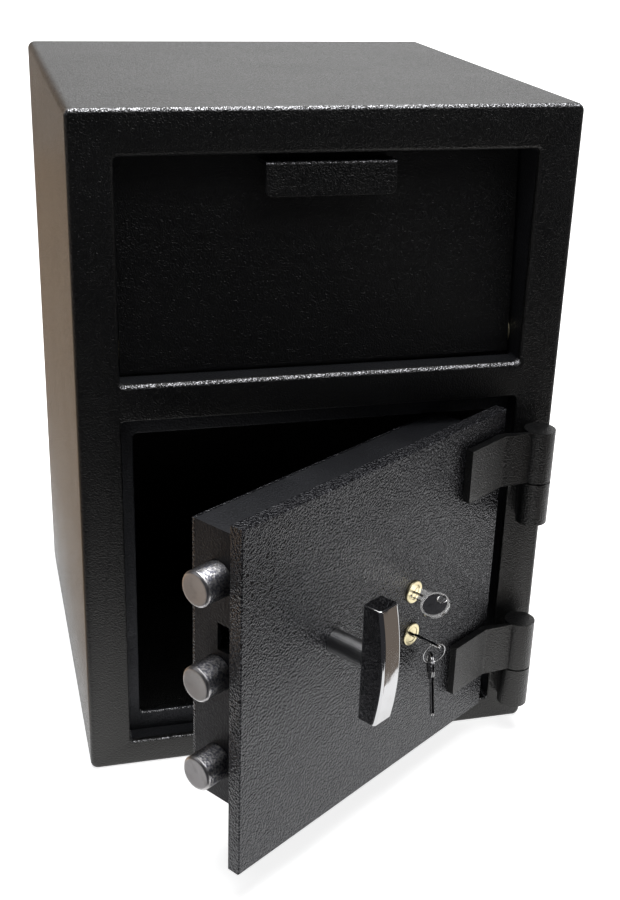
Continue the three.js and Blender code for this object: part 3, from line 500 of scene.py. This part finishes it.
def evenShading(made, angle=35):
    # smooth faces, and sharp edges only where the shape turns more than the angle
    mesh = made.data
    for face in mesh.polygons:
        face.use_smooth = True
    shape = bmesh.new()
    shape.from_mesh(mesh)
    for edge in shape.edges:
        edge.smooth = len(edge.link_faces) != 2 or edge.calc_face_angle(0) < radians(angle)
    sharp = [not edge.smooth for edge in shape.edges]
    shape.free()
    mesh.attributes.new("sharp_edge", "BOOLEAN", "EDGE").data.foreach_set("value", sharp)
    return made


def softened(node, body, material, slot, folds, segments=4):
    # a copy of a node with some edges rounded: folds gives each width and which edges get it
    shape = bmesh.new()
    shape.from_mesh(nodes[node].data)
    bmesh.ops.remove_doubles(shape, verts=shape.verts, dist=meshCare["weld"])
    flat, corner = radians(meshCare["flat"]), radians(meshCare["corner"])
    bmesh.ops.dissolve_limit(shape, angle_limit=flat, verts=shape.verts, edges=shape.edges)
    for width, chosen in folds:
        shared = (edge for edge in shape.edges if len(edge.link_faces) == 2)
        edges = [edge for edge in shared if edge.calc_face_angle(0) > corner and chosen(edge)]
        bmesh.ops.bevel(
            shape,
            geom=edges,
            offset=width,
            offset_type="OFFSET",
            segments=segments,
            profile=0.5,
            affect="EDGES",
        )
    mesh = meshFrom(shape, f"{node}_soft", smooth=False)
    made = addPiece(f"{node}_soft", mesh, material, body, slot, node)
    return evenShading(made, meshCare["softShading"])


def circlePoints(radius, x, y, count):
    turns = (2 * pi * i / count for i in range(count))
    return [(x + radius * cos(turn), y + radius * sin(turn)) for turn in turns]


def turnedShape(outline, sides=96):
    # outline lists (radius, place along y) from axis to axis
    shape = bmesh.new()
    rings = []
    for radius, along in outline:
        if radius == 0:
            rings.append([shape.verts.new((0, along, 0))])
            continue
        circle = circlePoints(radius, 0, 0, sides)
        rings.append([shape.verts.new((x, along, z)) for x, z in circle])
    for first, second in zip(rings, rings[1:]):
        for i in range(sides):
            j = (i + 1) % sides
            if len(first) == 1:
                shape.faces.new((first[0], second[i], second[j]))
            elif len(second) == 1:
                shape.faces.new((first[i], second[0], first[j]))
            else:
                shape.faces.new((first[i], second[i], second[j], first[j]))
    return shape


# ---- cabinet

cabinetLook = {
    "frameRim": 15 * mm,  # folds this near the front's outline are its outer ones
    "outerFold": 3.4 * mm,
    "drawerFold": 3.6 * mm,
    "doorFold": 1.6 * mm,
    "stopEdge": 1.4 * mm,
    "stopSheet": 3 * mm,
    "stopReach": 145 * mm,
    "stopHeights": (30 * mm, 282 * mm),
    "betweenOpenings": 310 * mm,
    "backEdge": 1.5 * mm,
    "sheetEdge": 0.5 * mm,
}


def onPlane(edge, y):
    return all(abs(vert.co.y - y) < meshCare["onPlane"] for vert in edge.verts)


def addCabinet():
    look = cabinetLook
    low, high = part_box("front_frame")
    rim = look["frameRim"]

    def outermost(edge):
        middle = (edge.verts[0].co + edge.verts[1].co) / 2
        inX = low.x + rim < middle.x < high.x - rim
        return not (inX and low.z + rim < middle.z < high.z - rim)

    def aboveDoor(edge):
        return min(vert.co.z for vert in edge.verts) > look["betweenOpenings"]

    def inOpening(edge):
        return onPlane(edge, low.y) and not outermost(edge)

    folds = (
        (look["outerFold"], lambda edge: onPlane(edge, low.y) and outermost(edge)),
        (look["drawerFold"], lambda edge: inOpening(edge) and aboveDoor(edge)),
        (look["doorFold"], lambda edge: inOpening(edge) and not aboveDoor(edge)),
    )
    # the front frame's upward folds carry the painted highlight
    softened("front_frame", "cabinet", foldHighlightPaint, "body_paint", folds)
    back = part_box("back_panel")[1].y
    folds = [(look["backEdge"], lambda edge: onPlane(edge, back))]
    softened("back_panel", "cabinet", cabinetPaint, "body_paint", folds)
    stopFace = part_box("door_stop_frame")[1].y - look["stopSheet"]
    bottom, top = look["stopHeights"]

    def inStop(edge):
        # the edge of the stop's own opening, not the corner of its flange
        spots = [vert.co for vert in edge.verts]
        return all(abs(spot.x) < look["stopReach"] and bottom < spot.z < top for spot in spots)

    folds = [(look["stopEdge"], lambda edge: onPlane(edge, stopFace) and inStop(edge))]
    # the stop's upward folds carry the painted highlight
    softened("door_stop_frame", "cabinet", stopFoldHighlightPaint, "inner_paint", folds, segments=3)
    for node in ("body_shell", "drawer_surround", "fish_baffle"):
        evenShading(nodes[node])
    for node in ("drawer_surround", "fish_baffle"):
        rounded(nodes[node], look["sheetEdge"], segments=2)


# ---- hinges

hingeLook = {"strapEdge": 1.6 * mm, "knuckleEdge": 0.8 * mm, "pinEdge": 0.5 * mm}


def addHinges():
    for level in ("upper", "lower"):
        rounded(evenShading(nodes[f"hinge_strap_{level}"]), hingeLook["strapEdge"])
        rounded(evenShading(nodes[f"hinge_knuckle_{level}"]), hingeLook["knuckleEdge"])
        rounded(evenShading(nodes[f"hinge_pin_{level}"]), hingeLook["pinEdge"])


# ---- deposit drawer

drawerLook = {
    "panelEdge": 0.8 * mm,
    "pullEdge": 0.6 * mm,
    "pullFold": 2.6 * mm,
    "frontFace": 0.9,  # how squarely the fold's two faces look forwards and up, of 1
    "topFace": 0.7,
}


def addDrawer():
    rounded(evenShading(nodes["drawer_panel"]), drawerLook["panelEdge"])

    def topFront(edge):
        forwards = max(-face.normal.y for face in edge.link_faces)
        upwards = max(face.normal.z for face in edge.link_faces)
        return forwards > drawerLook["frontFace"] and upwards > drawerLook["topFace"]

    folds = [(drawerLook["pullFold"], topFront)]
    # the pull's top fold carries the painted highlight
    pull = softened("drawer_pull", "drawer", foldHighlightPaint, "body_paint", folds)
    rounded(pull, drawerLook["pullEdge"])
    for node in ("drawer_cheek_left", "drawer_cheek_right", "drawer_floor"):
        rounded(evenShading(nodes[node]), cabinetLook["sheetEdge"], segments=2)


# ---- door

doorLook = {"plateEdge": 0.35 * mm, "boxEdge": 0.8 * mm, "coverEdge": 0.4 * mm}


def addDoor():
    rounded(evenShading(nodes["door_plate"]), doorLook["plateEdge"], segments=2)
    rounded(evenShading(nodes["bolt_box"]), doorLook["boxEdge"])
    rounded(evenShading(nodes["bolt_box_cover"]), doorLook["coverEdge"], segments=2)


# ---- bolts

# millimetres; face lists (radius, back from the face), and edge (radius past the bolt's, back)
boltShape = {
    "radius": 12.5,
    "length": 60,
    "stud": 5,
    "studLength": 11,
    "face": [(0, 0.35), (3.2, 0.3), (9.2, 0.12)],
    "edge": [(-1.7, 0), (-1.45, 0.08), (-0.15, 1.35), (0, 1.75)],
    "backEdge": 0.5,
    "end": -149.5,
    "y": 36.3,
    "shading": 28,
}
boltHeights = {"lower": 96.5, "middle": 166.5, "upper": 236.5}
boltFace = placeOnDoor(boltShape["end"], boltShape["y"], 0).translation
boltSteel = turnedSteel("boltSteel", boltFace)


def addBolts():
    radius, length = boltShape["radius"], boltShape["length"]
    stud, back = boltShape["stud"], length + boltShape["studLength"]
    outline = boltShape["face"] + [(radius + past, along) for past, along in boltShape["edge"]]
    outline += [(radius, length - boltShape["backEdge"]), (radius - boltShape["backEdge"], length)]
    outline += [(stud, length), (stud, back), (0, back)]
    sideways = Matrix.Rotation(-pi / 2, 4, "Z")
    for level, height in boltHeights.items():
        shape = turnedShape([(r * mm, along * mm) for r, along in outline])
        place = placeOnDoor(boltShape["end"], boltShape["y"], height) @ sideways
        node = f"bolt_{level}"
        mesh = meshFrom(shape, f"{node}_turned", place)
        made = addPiece(f"{node}_turned", mesh, boltSteel, "bolt_work", "bolt_steel", node)
        evenShading(made, boltShape["shading"])


# ---- handle

handleShape = {
    "x": -50.25,
    "z": 170.5,
    "half": 44,
    "width": 18.5,
    "back": -27,
    "front": -42,
    "bulge": 5,
    "frontBevel": 1.5,
    "backBevel": 1.2,
    "edge": 0.7,
    "spindleEdge": 0.4,
    "steps": 48,
    "shading": 25,
}


def addHandle():
    look = handleShape
    half, bulge = look["half"], look["bulge"]
    arch = (half * half + bulge * bulge) / (2 * bulge)
    side = look["width"] / 2
    shape = bmesh.new()
    loops = []
    for i in range(look["steps"] + 1):
        z = half * (2 * i / look["steps"] - 1)
        front = look["front"] - (sqrt(arch * arch - z * z) - (arch - bulge))
        bevel, corner = look["frontBevel"], look["backBevel"]
        outline = [
            (-side + corner, look["back"]),
            (side - corner, look["back"]),
            (side, look["back"] - corner),
            (side, front + bevel),
            (side - bevel, front),
            (-side + bevel, front),
            (-side, front + bevel),
            (-side, look["back"] - corner),
        ]
        loops.append([shape.verts.new(Vector((x, y, z)) * mm) for x, y in outline])
    count = len(loops[0])
    for low, high in zip(loops, loops[1:]):
        for i in range(count):
            j = (i + 1) % count
            shape.faces.new((low[i], low[j], high[j], high[i]))
    shape.faces.new(list(reversed(loops[0])))
    shape.faces.new(loops[-1])
    place = placeOnDoor(look["x"], 0, look["z"])
    mesh = meshFrom(shape, "handle_bar_polished", place)
    made = addPiece("handle_bar_polished", mesh, handleChrome, "handle", "chrome", "handle_bar")
    evenShading(made, look["shading"])
    rounded(made, look["edge"] * mm, segments=4, angle=look["shading"])
    rounded(evenShading(nodes["handle_spindle"]), look["spindleEdge"] * mm, segments=2)


# ---- locks

lockLook = {"headEdge": 0.25 * mm}


def addLocks():
    for level in ("upper", "lower"):
        for part in ("body", "plug"):
            node = nodes[f"lock_{part}_{level}"]
            rounded(evenShading(node), lockLook["headEdge"], segments=2)


# ---- keys

# millimetres in a key's own drawing: the blade's middle line is x = 0, and y goes to its tip
keyShape = {
    "bowRadius": 10.8,
    "bowSide": -3,
    "bowToTip": 36,
    "bowSteps": 72,
    "thickness": 1.8,
    "rimWidth": 1.7,
    "holeRimWidth": 1.1,
    "dish": 0.4,
    "neck": (-5.4, 5.4, 4, 10),  # left, right, from, to
    "blade": 9,
    "bladeStart": 3,
    "tipCut": 2.6,
    "grooveSides": (-1.6, 0.2),
    "grooveEnds": (12, 1.5),  # from the bow's middle, and short of the tip
    "grooveCut": 0.9,
    "notchDepths": (1.1, 0.6, 1.2, 0.8, 0.4),
    "notchPitch": 3.4,
    "firstNotch": 4.5,
    "notchFloor": (0.9, 1.9),
    "notchMouth": 2.9,
    "notchOut": 2,
    "holeFromBlade": 3.3,
    "holeOut": 2.3,
    "holeRadius": 3,
    "holeSteps": 40,
    "edge": 0.42,
    "edgeAngle": 40,
}
keysInLocks = {"upper": {"turn": 29, "out": 20}, "lower": {"turn": -40, "out": 15.5}}
# the ring hangs through the lower key's hole, and the spare key hangs on the ring
ringShape = {
    "radius": 8.9,
    "turn": 25,
    "lean": 10.4,
    "aside": 12.5,
    "spareDrop": 2.05,
    "spareLean": 23,
    "spareTurn": 17,
    "wire": 0.5,
    "wireOut": 0.62,  # half the wire across and along the ring's axis, as shares of the wire
    "wireAlong": 0.5,
    "spread": 1.15,
    "turns": 1.94,
    "start": 2.4,
    "steps": 128,
    "sides": 10,
    "shading": 60,
}


def slab(shape, points, thickness):
    # a flat plate with that outline, centred on z = 0
    half = thickness / 2
    low = [shape.verts.new((x, y, -half)) for x, y in points]
    high = [shape.verts.new((x, y, half)) for x, y in points]
    shape.faces.new(list(reversed(low)))
    shape.faces.new(high)
    for i in range(len(points)):
        j = (i + 1) % len(points)
        shape.faces.new((low[i], low[j], high[j], high[i]))


def applyTool(made, tool, operation="DIFFERENCE"):
    # cuts a helper object away from a piece, or joins it on, and removes the helper
    change = made.modifiers.new("cut", "BOOLEAN")
    change.operation = operation
    change.solver = "EXACT"
    change.object = tool
    view = bpy.context.evaluated_depsgraph_get()
    mesh = bpy.data.meshes.new_from_object(made.evaluated_get(view))
    made.modifiers.remove(change)
    old = made.data
    made.data = mesh
    bpy.data.meshes.remove(old)
    bpy.data.objects.remove(tool)


def helper(name, points, thickness, lift=0.0):
    shape = bmesh.new()
    slab(shape, points, thickness)
    bmesh.ops.translate(shape, verts=shape.verts, vec=(0, 0, lift))
    made = bpy.data.objects.new(name, meshFrom(shape, name, smooth=False))
    bpy.context.scene.collection.objects.link(made)
    return made


def addBead(shape, radius, halfWidth, halfHeight, middle, steps, sides=12):
    # a rounded rim round a bow or a hole
    loops = []
    for i in range(steps):
        turn = 2 * pi * i / steps
        loop = []
        for k in range(sides):
            around = 2 * pi * k / sides
            reach = radius + halfWidth * cos(around)
            x, y = middle[0] + reach * cos(turn), middle[1] + reach * sin(turn)
            loop.append(shape.verts.new((x, y, halfHeight * sin(around))))
        loops.append(loop)
    for i, loop in enumerate(loops):
        after = loops[(i + 1) % steps]
        for k in range(sides):
            j = (k + 1) % sides
            shape.faces.new((loop[k], after[k], after[j], loop[j]))


def oblong(left, right, low, high):
    return [(left, low), (right, low), (right, high), (left, high)]


def bladeOutline(key):
    side, start, tip = key["blade"] / 2, key["bladeStart"], key["bowToTip"]
    shoulder, end = tip - side / 2, side - key["tipCut"]
    right = [(side, start), (side, shoulder), (end, tip)]
    return [(-side, start)] + right + [(-end, tip), (-side, shoulder)]


def notchOutline(key, number, depth):
    side, out = key["blade"] / 2, key["notchOut"]
    top = key["bowToTip"] - key["firstNotch"] - number * key["notchPitch"]
    near, far = key["notchFloor"]
    inner = [(depth - side, top - far), (depth - side, top - near)]
    return inner + [(-side - out, top), (-side - out, top - key["notchMouth"])]


def keyMesh():
    # flat key in the plane of x and y, with the bow's middle at y = 0
    key = keyShape
    thick, bow, steps = key["thickness"], (key["bowSide"], 0), key["bowSteps"]
    made = helper("keyBlank", circlePoints(key["bowRadius"], *bow, steps), thick)
    for name, points in (("neck", oblong(*key["neck"])), ("blade", bladeOutline(key))):
        applyTool(made, helper(name, points, thick), "UNION")
    grooveStart, shortOfTip = key["grooveEnds"]
    groove = oblong(*key["grooveSides"], grooveStart, key["bowToTip"] - shortOfTip)
    dish = circlePoints(key["bowRadius"] - key["rimWidth"], *bow, steps)
    for lift in (-thick / 2, thick / 2):
        applyTool(made, helper("dish", dish, 2 * key["dish"], lift))
        applyTool(made, helper("groove", groove, key["grooveCut"], lift))
    hole = (key["holeFromBlade"], -key["holeOut"])
    circle = circlePoints(key["holeRadius"], *hole, key["holeSteps"])
    through = 4 * thick
    applyTool(made, helper("hole", circle, through))
    for number, depth in enumerate(key["notchDepths"]):
        applyTool(made, helper("notch", notchOutline(key, number, depth), through))
    shape = bmesh.new()
    shape.from_mesh(made.data)
    bpy.data.objects.remove(made)
    holeEdge = key["holeRadius"] + key["holeRimWidth"]
    beads = ((key["bowRadius"], key["rimWidth"], bow), (holeEdge, key["holeRimWidth"], hole))
    for radius, width, middle in beads:
        addBead(shape, radius - width / 2, width / 2, thick / 2, middle, steps)
    mesh = bpy.data.meshes.new("keyCut")
    shape.to_mesh(mesh)
    shape.free()
    mesh.transform(Matrix.Scale(mm, 4))
    return mesh


def turnZ(degrees):
    return Matrix.Rotation(radians(degrees), 4, "Z")


def moved(x, y, z):
    return Matrix.Translation(Vector((x, y, z)) * mm)


def keyPlaces():
    # where each key's own drawing goes
    places = {}
    for level, key in keysInLocks.items():
        upright = Matrix.Rotation(-radians(key["turn"]), 4, "Y")
        places[level] = placeOnDoor(*lockMiddle[level]) @ upright @ moved(0, -key["out"], 0)
    ring = ringShape
    radius, lean, aside = ring["radius"], radians(ring["lean"]), radians(ring["aside"])
    toHole = moved(keyShape["holeFromBlade"], -keyShape["holeOut"], 0)
    hole = places["lower"] @ toHole
    ringFrame = Matrix.Translation(hole.translation) @ turnZ(doorAngle - ring["turn"])
    reach = radius * cos(aside)
    middle = ringFrame @ moved(radius * sin(aside), reach * sin(lean), -reach * cos(lean))
    places["ring"] = middle @ Matrix.Rotation(lean, 4, "X")
    drop = moved(0, radius * sin(lean), -radius * cos(lean) - ring["spareDrop"])
    flatToUpright = Matrix.Rotation(-pi / 2, 4, "X")
    hang = turnZ(-90 - ring["spareTurn"]) @ flatToUpright @ turnZ(-ring["spareLean"])
    places["spare"] = middle @ drop @ hang @ toHole.inverted()
    return places


nickelLook = {
    "brightMetal": colour(0.85, 0.84, 0.82),
    # painted dark reflection: the dish colour stands in for the dark surroundings that the bow
    # mirrors
    "dish": colour(0.085, 0.085, 0.09),
    "rimBlend": 0.08,  # millimetres by which the bright part starts above the dish painted dark
    "film": (5 * mm, 3.0, 0.42, 0.7),
    "filmShade": 0.3,
    "roughness": 0.12,
    "filmRoughness": 0.1,
}


def keyNickel(which, place):
    # the dish pressed into each side of the bow is painted near black, a painted dark reflection,
    # and the rest is bright nickel
    look = nickelLook
    nickel = Finish(f"{which}KeyNickel", {"Metallic": 1.0})
    normal = place.to_3x3() @ Vector((0, 0, 1))
    across = nickel.along(tuple(normal), tuple(place.translation))
    out = nickel.node("ShaderNodeMath", {"operation": "ABSOLUTE"}, [across])
    half, blend = keyShape["thickness"] / 2, look["rimBlend"]
    brightMetal = nickel.rise(out, (half - keyShape["dish"] + blend) * mm, (half - blend) * mm)
    film = nickel.spots(*look["film"])
    bright = brightMetal * (1 - film * look["filmShade"])
    nickel.wear(
        Base_Color=nickel.blend(look["dish"], look["brightMetal"], bright),
        Roughness=look["roughness"] + film * look["filmRoughness"],
    )
    return nickel.material


def splitRing():
    # a wire wound nearly twice round, its turns side by side, with square ends
    ring = ringShape
    steps, sides, wire = ring["steps"], ring["sides"], ring["wire"]
    wireOut, wireAlong = ring["wireOut"] * wire, ring["wireAlong"] * wire
    shape = bmesh.new()
    loops = []
    for i in range(steps + 1):
        share = i / steps
        turn = 2 * pi * ring["turns"] * share + ring["start"]
        out = Vector((cos(turn), 0, sin(turn)))
        centre = out * ring["radius"] + Vector((0, (share - 0.5) * ring["spread"] * wire, 0))
        loop = []
        for k in range(sides):
            around = 2 * pi * k / sides
            offset = out * (wireOut * cos(around)) + Vector((0, wireAlong * sin(around), 0))
            loop.append(shape.verts.new((centre + offset) * mm))
        loops.append(loop)
    for first, second in zip(loops, loops[1:]):
        for k in range(sides):
            j = (k + 1) % sides
            shape.faces.new((first[k], second[k], second[j], first[j]))
    shape.faces.new(loops[0])
    shape.faces.new(list(reversed(loops[-1])))
    return shape


def addKeys():
    places = keyPlaces()
    blank = keyMesh()
    riders = {
        "upper": ("upper_lock", "key_upper"),
        "lower": ("lower_lock", "key_lower"),
        "spare": ("spare_key", "spare_key"),
    }
    for which, (body, node) in riders.items():
        place = places[which]
        mesh = blank.copy()
        mesh.transform(place)
        made = addPiece(f"{node}_cut", mesh, keyNickel(which, place), body, "chrome", node)
        rounded(evenShading(made), keyShape["edge"] * mm, angle=keyShape["edgeAngle"])
    mesh = meshFrom(splitRing(), "key_ring_wound", places["ring"])
    made = addPiece("key_ring_wound", mesh, handleChrome, "key_ring", "chrome", "key_ring")
    evenShading(made, ringShape["shading"])


# ---- finishes of the nodes that stay

# the drawer panel, hinge straps and knuckles get the paint with the painted fold highlight
finishByNode = {
    "spindle_bush": doorPaint,
    "handle_spindle": spindleSteel,
    "bolt_box": innerPaint,
    "drawer_panel": foldHighlightPaint,
    "hinge_strap_upper": foldHighlightPaint,
    "hinge_strap_lower": foldHighlightPaint,
    "hinge_knuckle_upper": foldHighlightPaint,
    "hinge_knuckle_lower": foldHighlightPaint,
}
finishBySlot = {
    "body_paint": cabinetPaint,
    "door_paint": doorPaint,
    "inner_paint": innerPaint,
    "chrome": handleChrome,
    "bolt_steel": boltSteel,
    "plain_steel": zinc,
    "brass": lockBrass["upper"],
}


def finishNodes():
    slots = {part["node"]: part["material_slot"] for part in frame["record"]["subparts"]}
    for name, node in nodes.items():
        material = finishByNode.get(name, finishBySlot[slots[name]])
        if name.startswith("lock_") and slots[name] == "brass":
            material = lockBrass[name.split("_")[-1]]
        for slot in node.material_slots:
            slot.material = material


# ---- studio

studio = {
    "floorHalf": 30.0,
    "floorColour": colour(0.9, 0.9, 0.9),
    "floorGlow": colour(0.84, 0.84, 0.84),
    "cardHeight": 2 * mm,
}
black = colour(0, 0, 0)
darkCard = colour(0.05, 0.05, 0.055)
# glowing reflection cards on the floor just outside the camera's view, seen only in reflections:
# painted reflections, the dark ones painted dark reflections. x range, y range, glow colour
cards = {
    "frontCard": ((-1.6, 1.6), (-3, -0.62), darkCard),
    "frontLeftCard": ((-1.6, -0.1), (-0.62, -0.38), darkCard),
    "frontRightCard": ((0.175, 1.6), (-0.62, -0.5), darkCard),
    "brownCard": ((0.175, 1.6), (-0.5, -0.342), colour(0.27, 0.225, 0.19)),
    "rightCard": ((0.75, 1.6), (-0.342, 0.6), darkCard),
    "upperBoltCard": ((-1.6, -0.43), (-0.38, -0.15), colour(0.28, 0.235, 0.205)),
    "middleBoltCard": ((-0.43, -0.3), (-0.38, -0.2), colour(0.3, 0.29, 0.285)),
    "lowerBoltCard": ((-0.3, -0.2), (-0.38, -0.26), colour(0.42, 0.41, 0.42)),
    "lowerBoltCardEnd": ((-0.2, -0.16), (-0.38, -0.335), colour(0.42, 0.41, 0.42)),
    "sideCard": ((-1.6, -0.215), (-0.15, 2.3), colour(0.66, 0.48, 0.33)),
}
# standing and hanging glowing sheets, also seen only in reflections, the brightest as painted
# highlights: corner, the two sides from it, glow colour
screens = {
    "backScreen": ((-1.6, 2.3, 0), (1.3, 0, 0), (0, 0, 1.2), colour(0.47, 0.36, 0.27)),
    "leftScreen": ((-1.8, -1.0, 0.9), (0, 1.5, 0), (0, 0, 1.0), colour(0.5, 0.5, 0.53)),
    "frontScreen": ((0.0, -1.6, 1.45), (1.3, 0, 0), (0, 0, 0.45), colour(1.0, 1.0, 1.03)),
    "frontCeiling": ((-0.3, -1.6, 1.9), (1.7, 0, 0), (0, 0.84, 0), colour(3.0, 3.0, 3.1)),
}


def seenDirectly(finish):
    # 1 for camera, mirror and glass rays alike
    rays = finish.tree.nodes.new("ShaderNodeLightPath").outputs
    direct, glossy, through = (
        Wire(finish, rays[f"Is {kind} Ray"]) for kind in ("Camera", "Glossy", "Transmission")
    )
    return finish.node("ShaderNodeMath", {"operation": "MAXIMUM"}, [direct + glossy, through])


def flatSheet(name, corner, side, rise):
    shape = bmesh.new()
    corner, side, rise = Vector(corner), Vector(side), Vector(rise)
    spots = (corner, corner + side, corner + side + rise, corner + rise)
    shape.faces.new([shape.verts.new(spot) for spot in spots])
    return meshFrom(shape, name)


def setUp(name, mesh, finish):
    # a piece of the studio, whose glow is no lamp
    made = bpy.data.objects.new(name, mesh)
    bpy.context.scene.collection.objects.link(made)
    finish.material.cycles.emission_sampling = "NONE"
    mesh.materials.append(finish.material)
    return made


def matte(name):
    return Finish(name, {"Roughness": 1.0, "Specular IOR Level": 0.0, "Emission Strength": 1.0})


def addFloor():
    half = studio["floorHalf"]
    floor = matte("studioFloor")
    glow = floor.blend(black, studio["floorGlow"], seenDirectly(floor))
    floor.wear(Base_Color=studio["floorColour"], Emission_Color=glow)
    sheet = flatSheet("studioFloor", (-half, -half, 0), (2 * half, 0, 0), (0, 2 * half, 0))
    setUp("studioFloor", sheet, floor)


# a sheet that glows with its colour and only shows in reflections: a painted reflection
def addCard(name, corner, side, rise, shade):
    card = matte(name)
    card.wear(Base_Color=black, Emission_Color=shade)
    made = setUp(name, flatSheet(name, corner, side, rise), card)
    made.visible_camera = False
    made.visible_diffuse = False
    made.visible_shadow = False


def addCards():
    for name, ((left, right), (near, far), shade) in cards.items():
        corner = (left, near, studio["cardHeight"])
        addCard(name, corner, (right - left, 0, 0), (0, far - near, 0), shade)
    for name, (corner, side, rise, shade) in screens.items():
        addCard(name, corner, side, rise, shade)


tent = {
    "radius": 3.2,
    "step": 3,  # degrees across each of its faces
    "windowTurns": (-15, 60),  # degrees from straight back towards the right
    "windowTop": 33,
    "cloth": colour(0.02, 0.02, 0.02),
    # glow colours of the cloth, from low down to the ceiling: painted room light
    "front": colour(0.012, 0.012, 0.015),
    "ceiling": colour(0.07, 0.07, 0.075),
    "ceilingRise": (0.8, 2.0),
}


def tentSpot(turn, tip):
    turn, tip = radians(turn), radians(tip)
    flat = tent["radius"] * cos(tip)
    return (flat * sin(turn), flat * cos(turn), tent["radius"] * sin(tip))


def addTent():
    # a dark dome, open low down at the back, that the camera looks through; its cloth glows faintly
    # and more towards the top, painted light of a dim room
    step = tent["step"]
    left, right = tent["windowTurns"]
    shape = bmesh.new()
    spots = {}
    for tip in range(0, 90 + step, step):
        for turn in range(0, 360, step):
            spots[turn, tip] = shape.verts.new(tentSpot(turn, tip))
    for tip in range(0, 90, step):
        for turn in range(0, 360, step):
            fromBack = (turn + step / 2 + 180) % 360 - 180
            if left < fromBack < right and tip < tent["windowTop"]:
                continue
            after, above = (turn + step) % 360, tip + step
            corners = ((turn, tip), (after, tip), (after, above), (turn, above))
            shape.faces.new([spots[corner] for corner in corners])
    bmesh.ops.remove_doubles(shape, verts=shape.verts, dist=mm)
    loose = [vert for vert in shape.verts if not vert.link_faces]
    bmesh.ops.delete(shape, geom=loose, context="VERTS")
    cloth = matte("tentCloth")
    height = cloth.rise(cloth.along((0, 0, 1)), *tent["ceilingRise"])
    glow = cloth.blend(tent["front"], tent["ceiling"], height)
    cloth.wear(Base_Color=tent["cloth"], Emission_Color=glow)
    setUp("studioTent", meshFrom(shape, "studioTent"), cloth).visible_camera = False


def addSky():
    world = bpy.data.worlds.new("studioSky")
    bpy.context.scene.world = world
    world.use_nodes = True
    world.node_tree.nodes["Background"].inputs["Color"].default_value = colour(1, 1, 1)


# ---- putting it together

bpy.context.scene.view_settings.view_transform = "Standard"
addCamera()
addLamps()
addFloor()
addCards()
addTent()
addSky()
print("studio ready")
finishNodes()
addCabinet()
addHinges()
addDrawer()
print("cabinet and drawer done")
addDoor()
addBolts()
addHandle()
addLocks()
addKeys()
print("door, bolts, handle, locks and keys done")
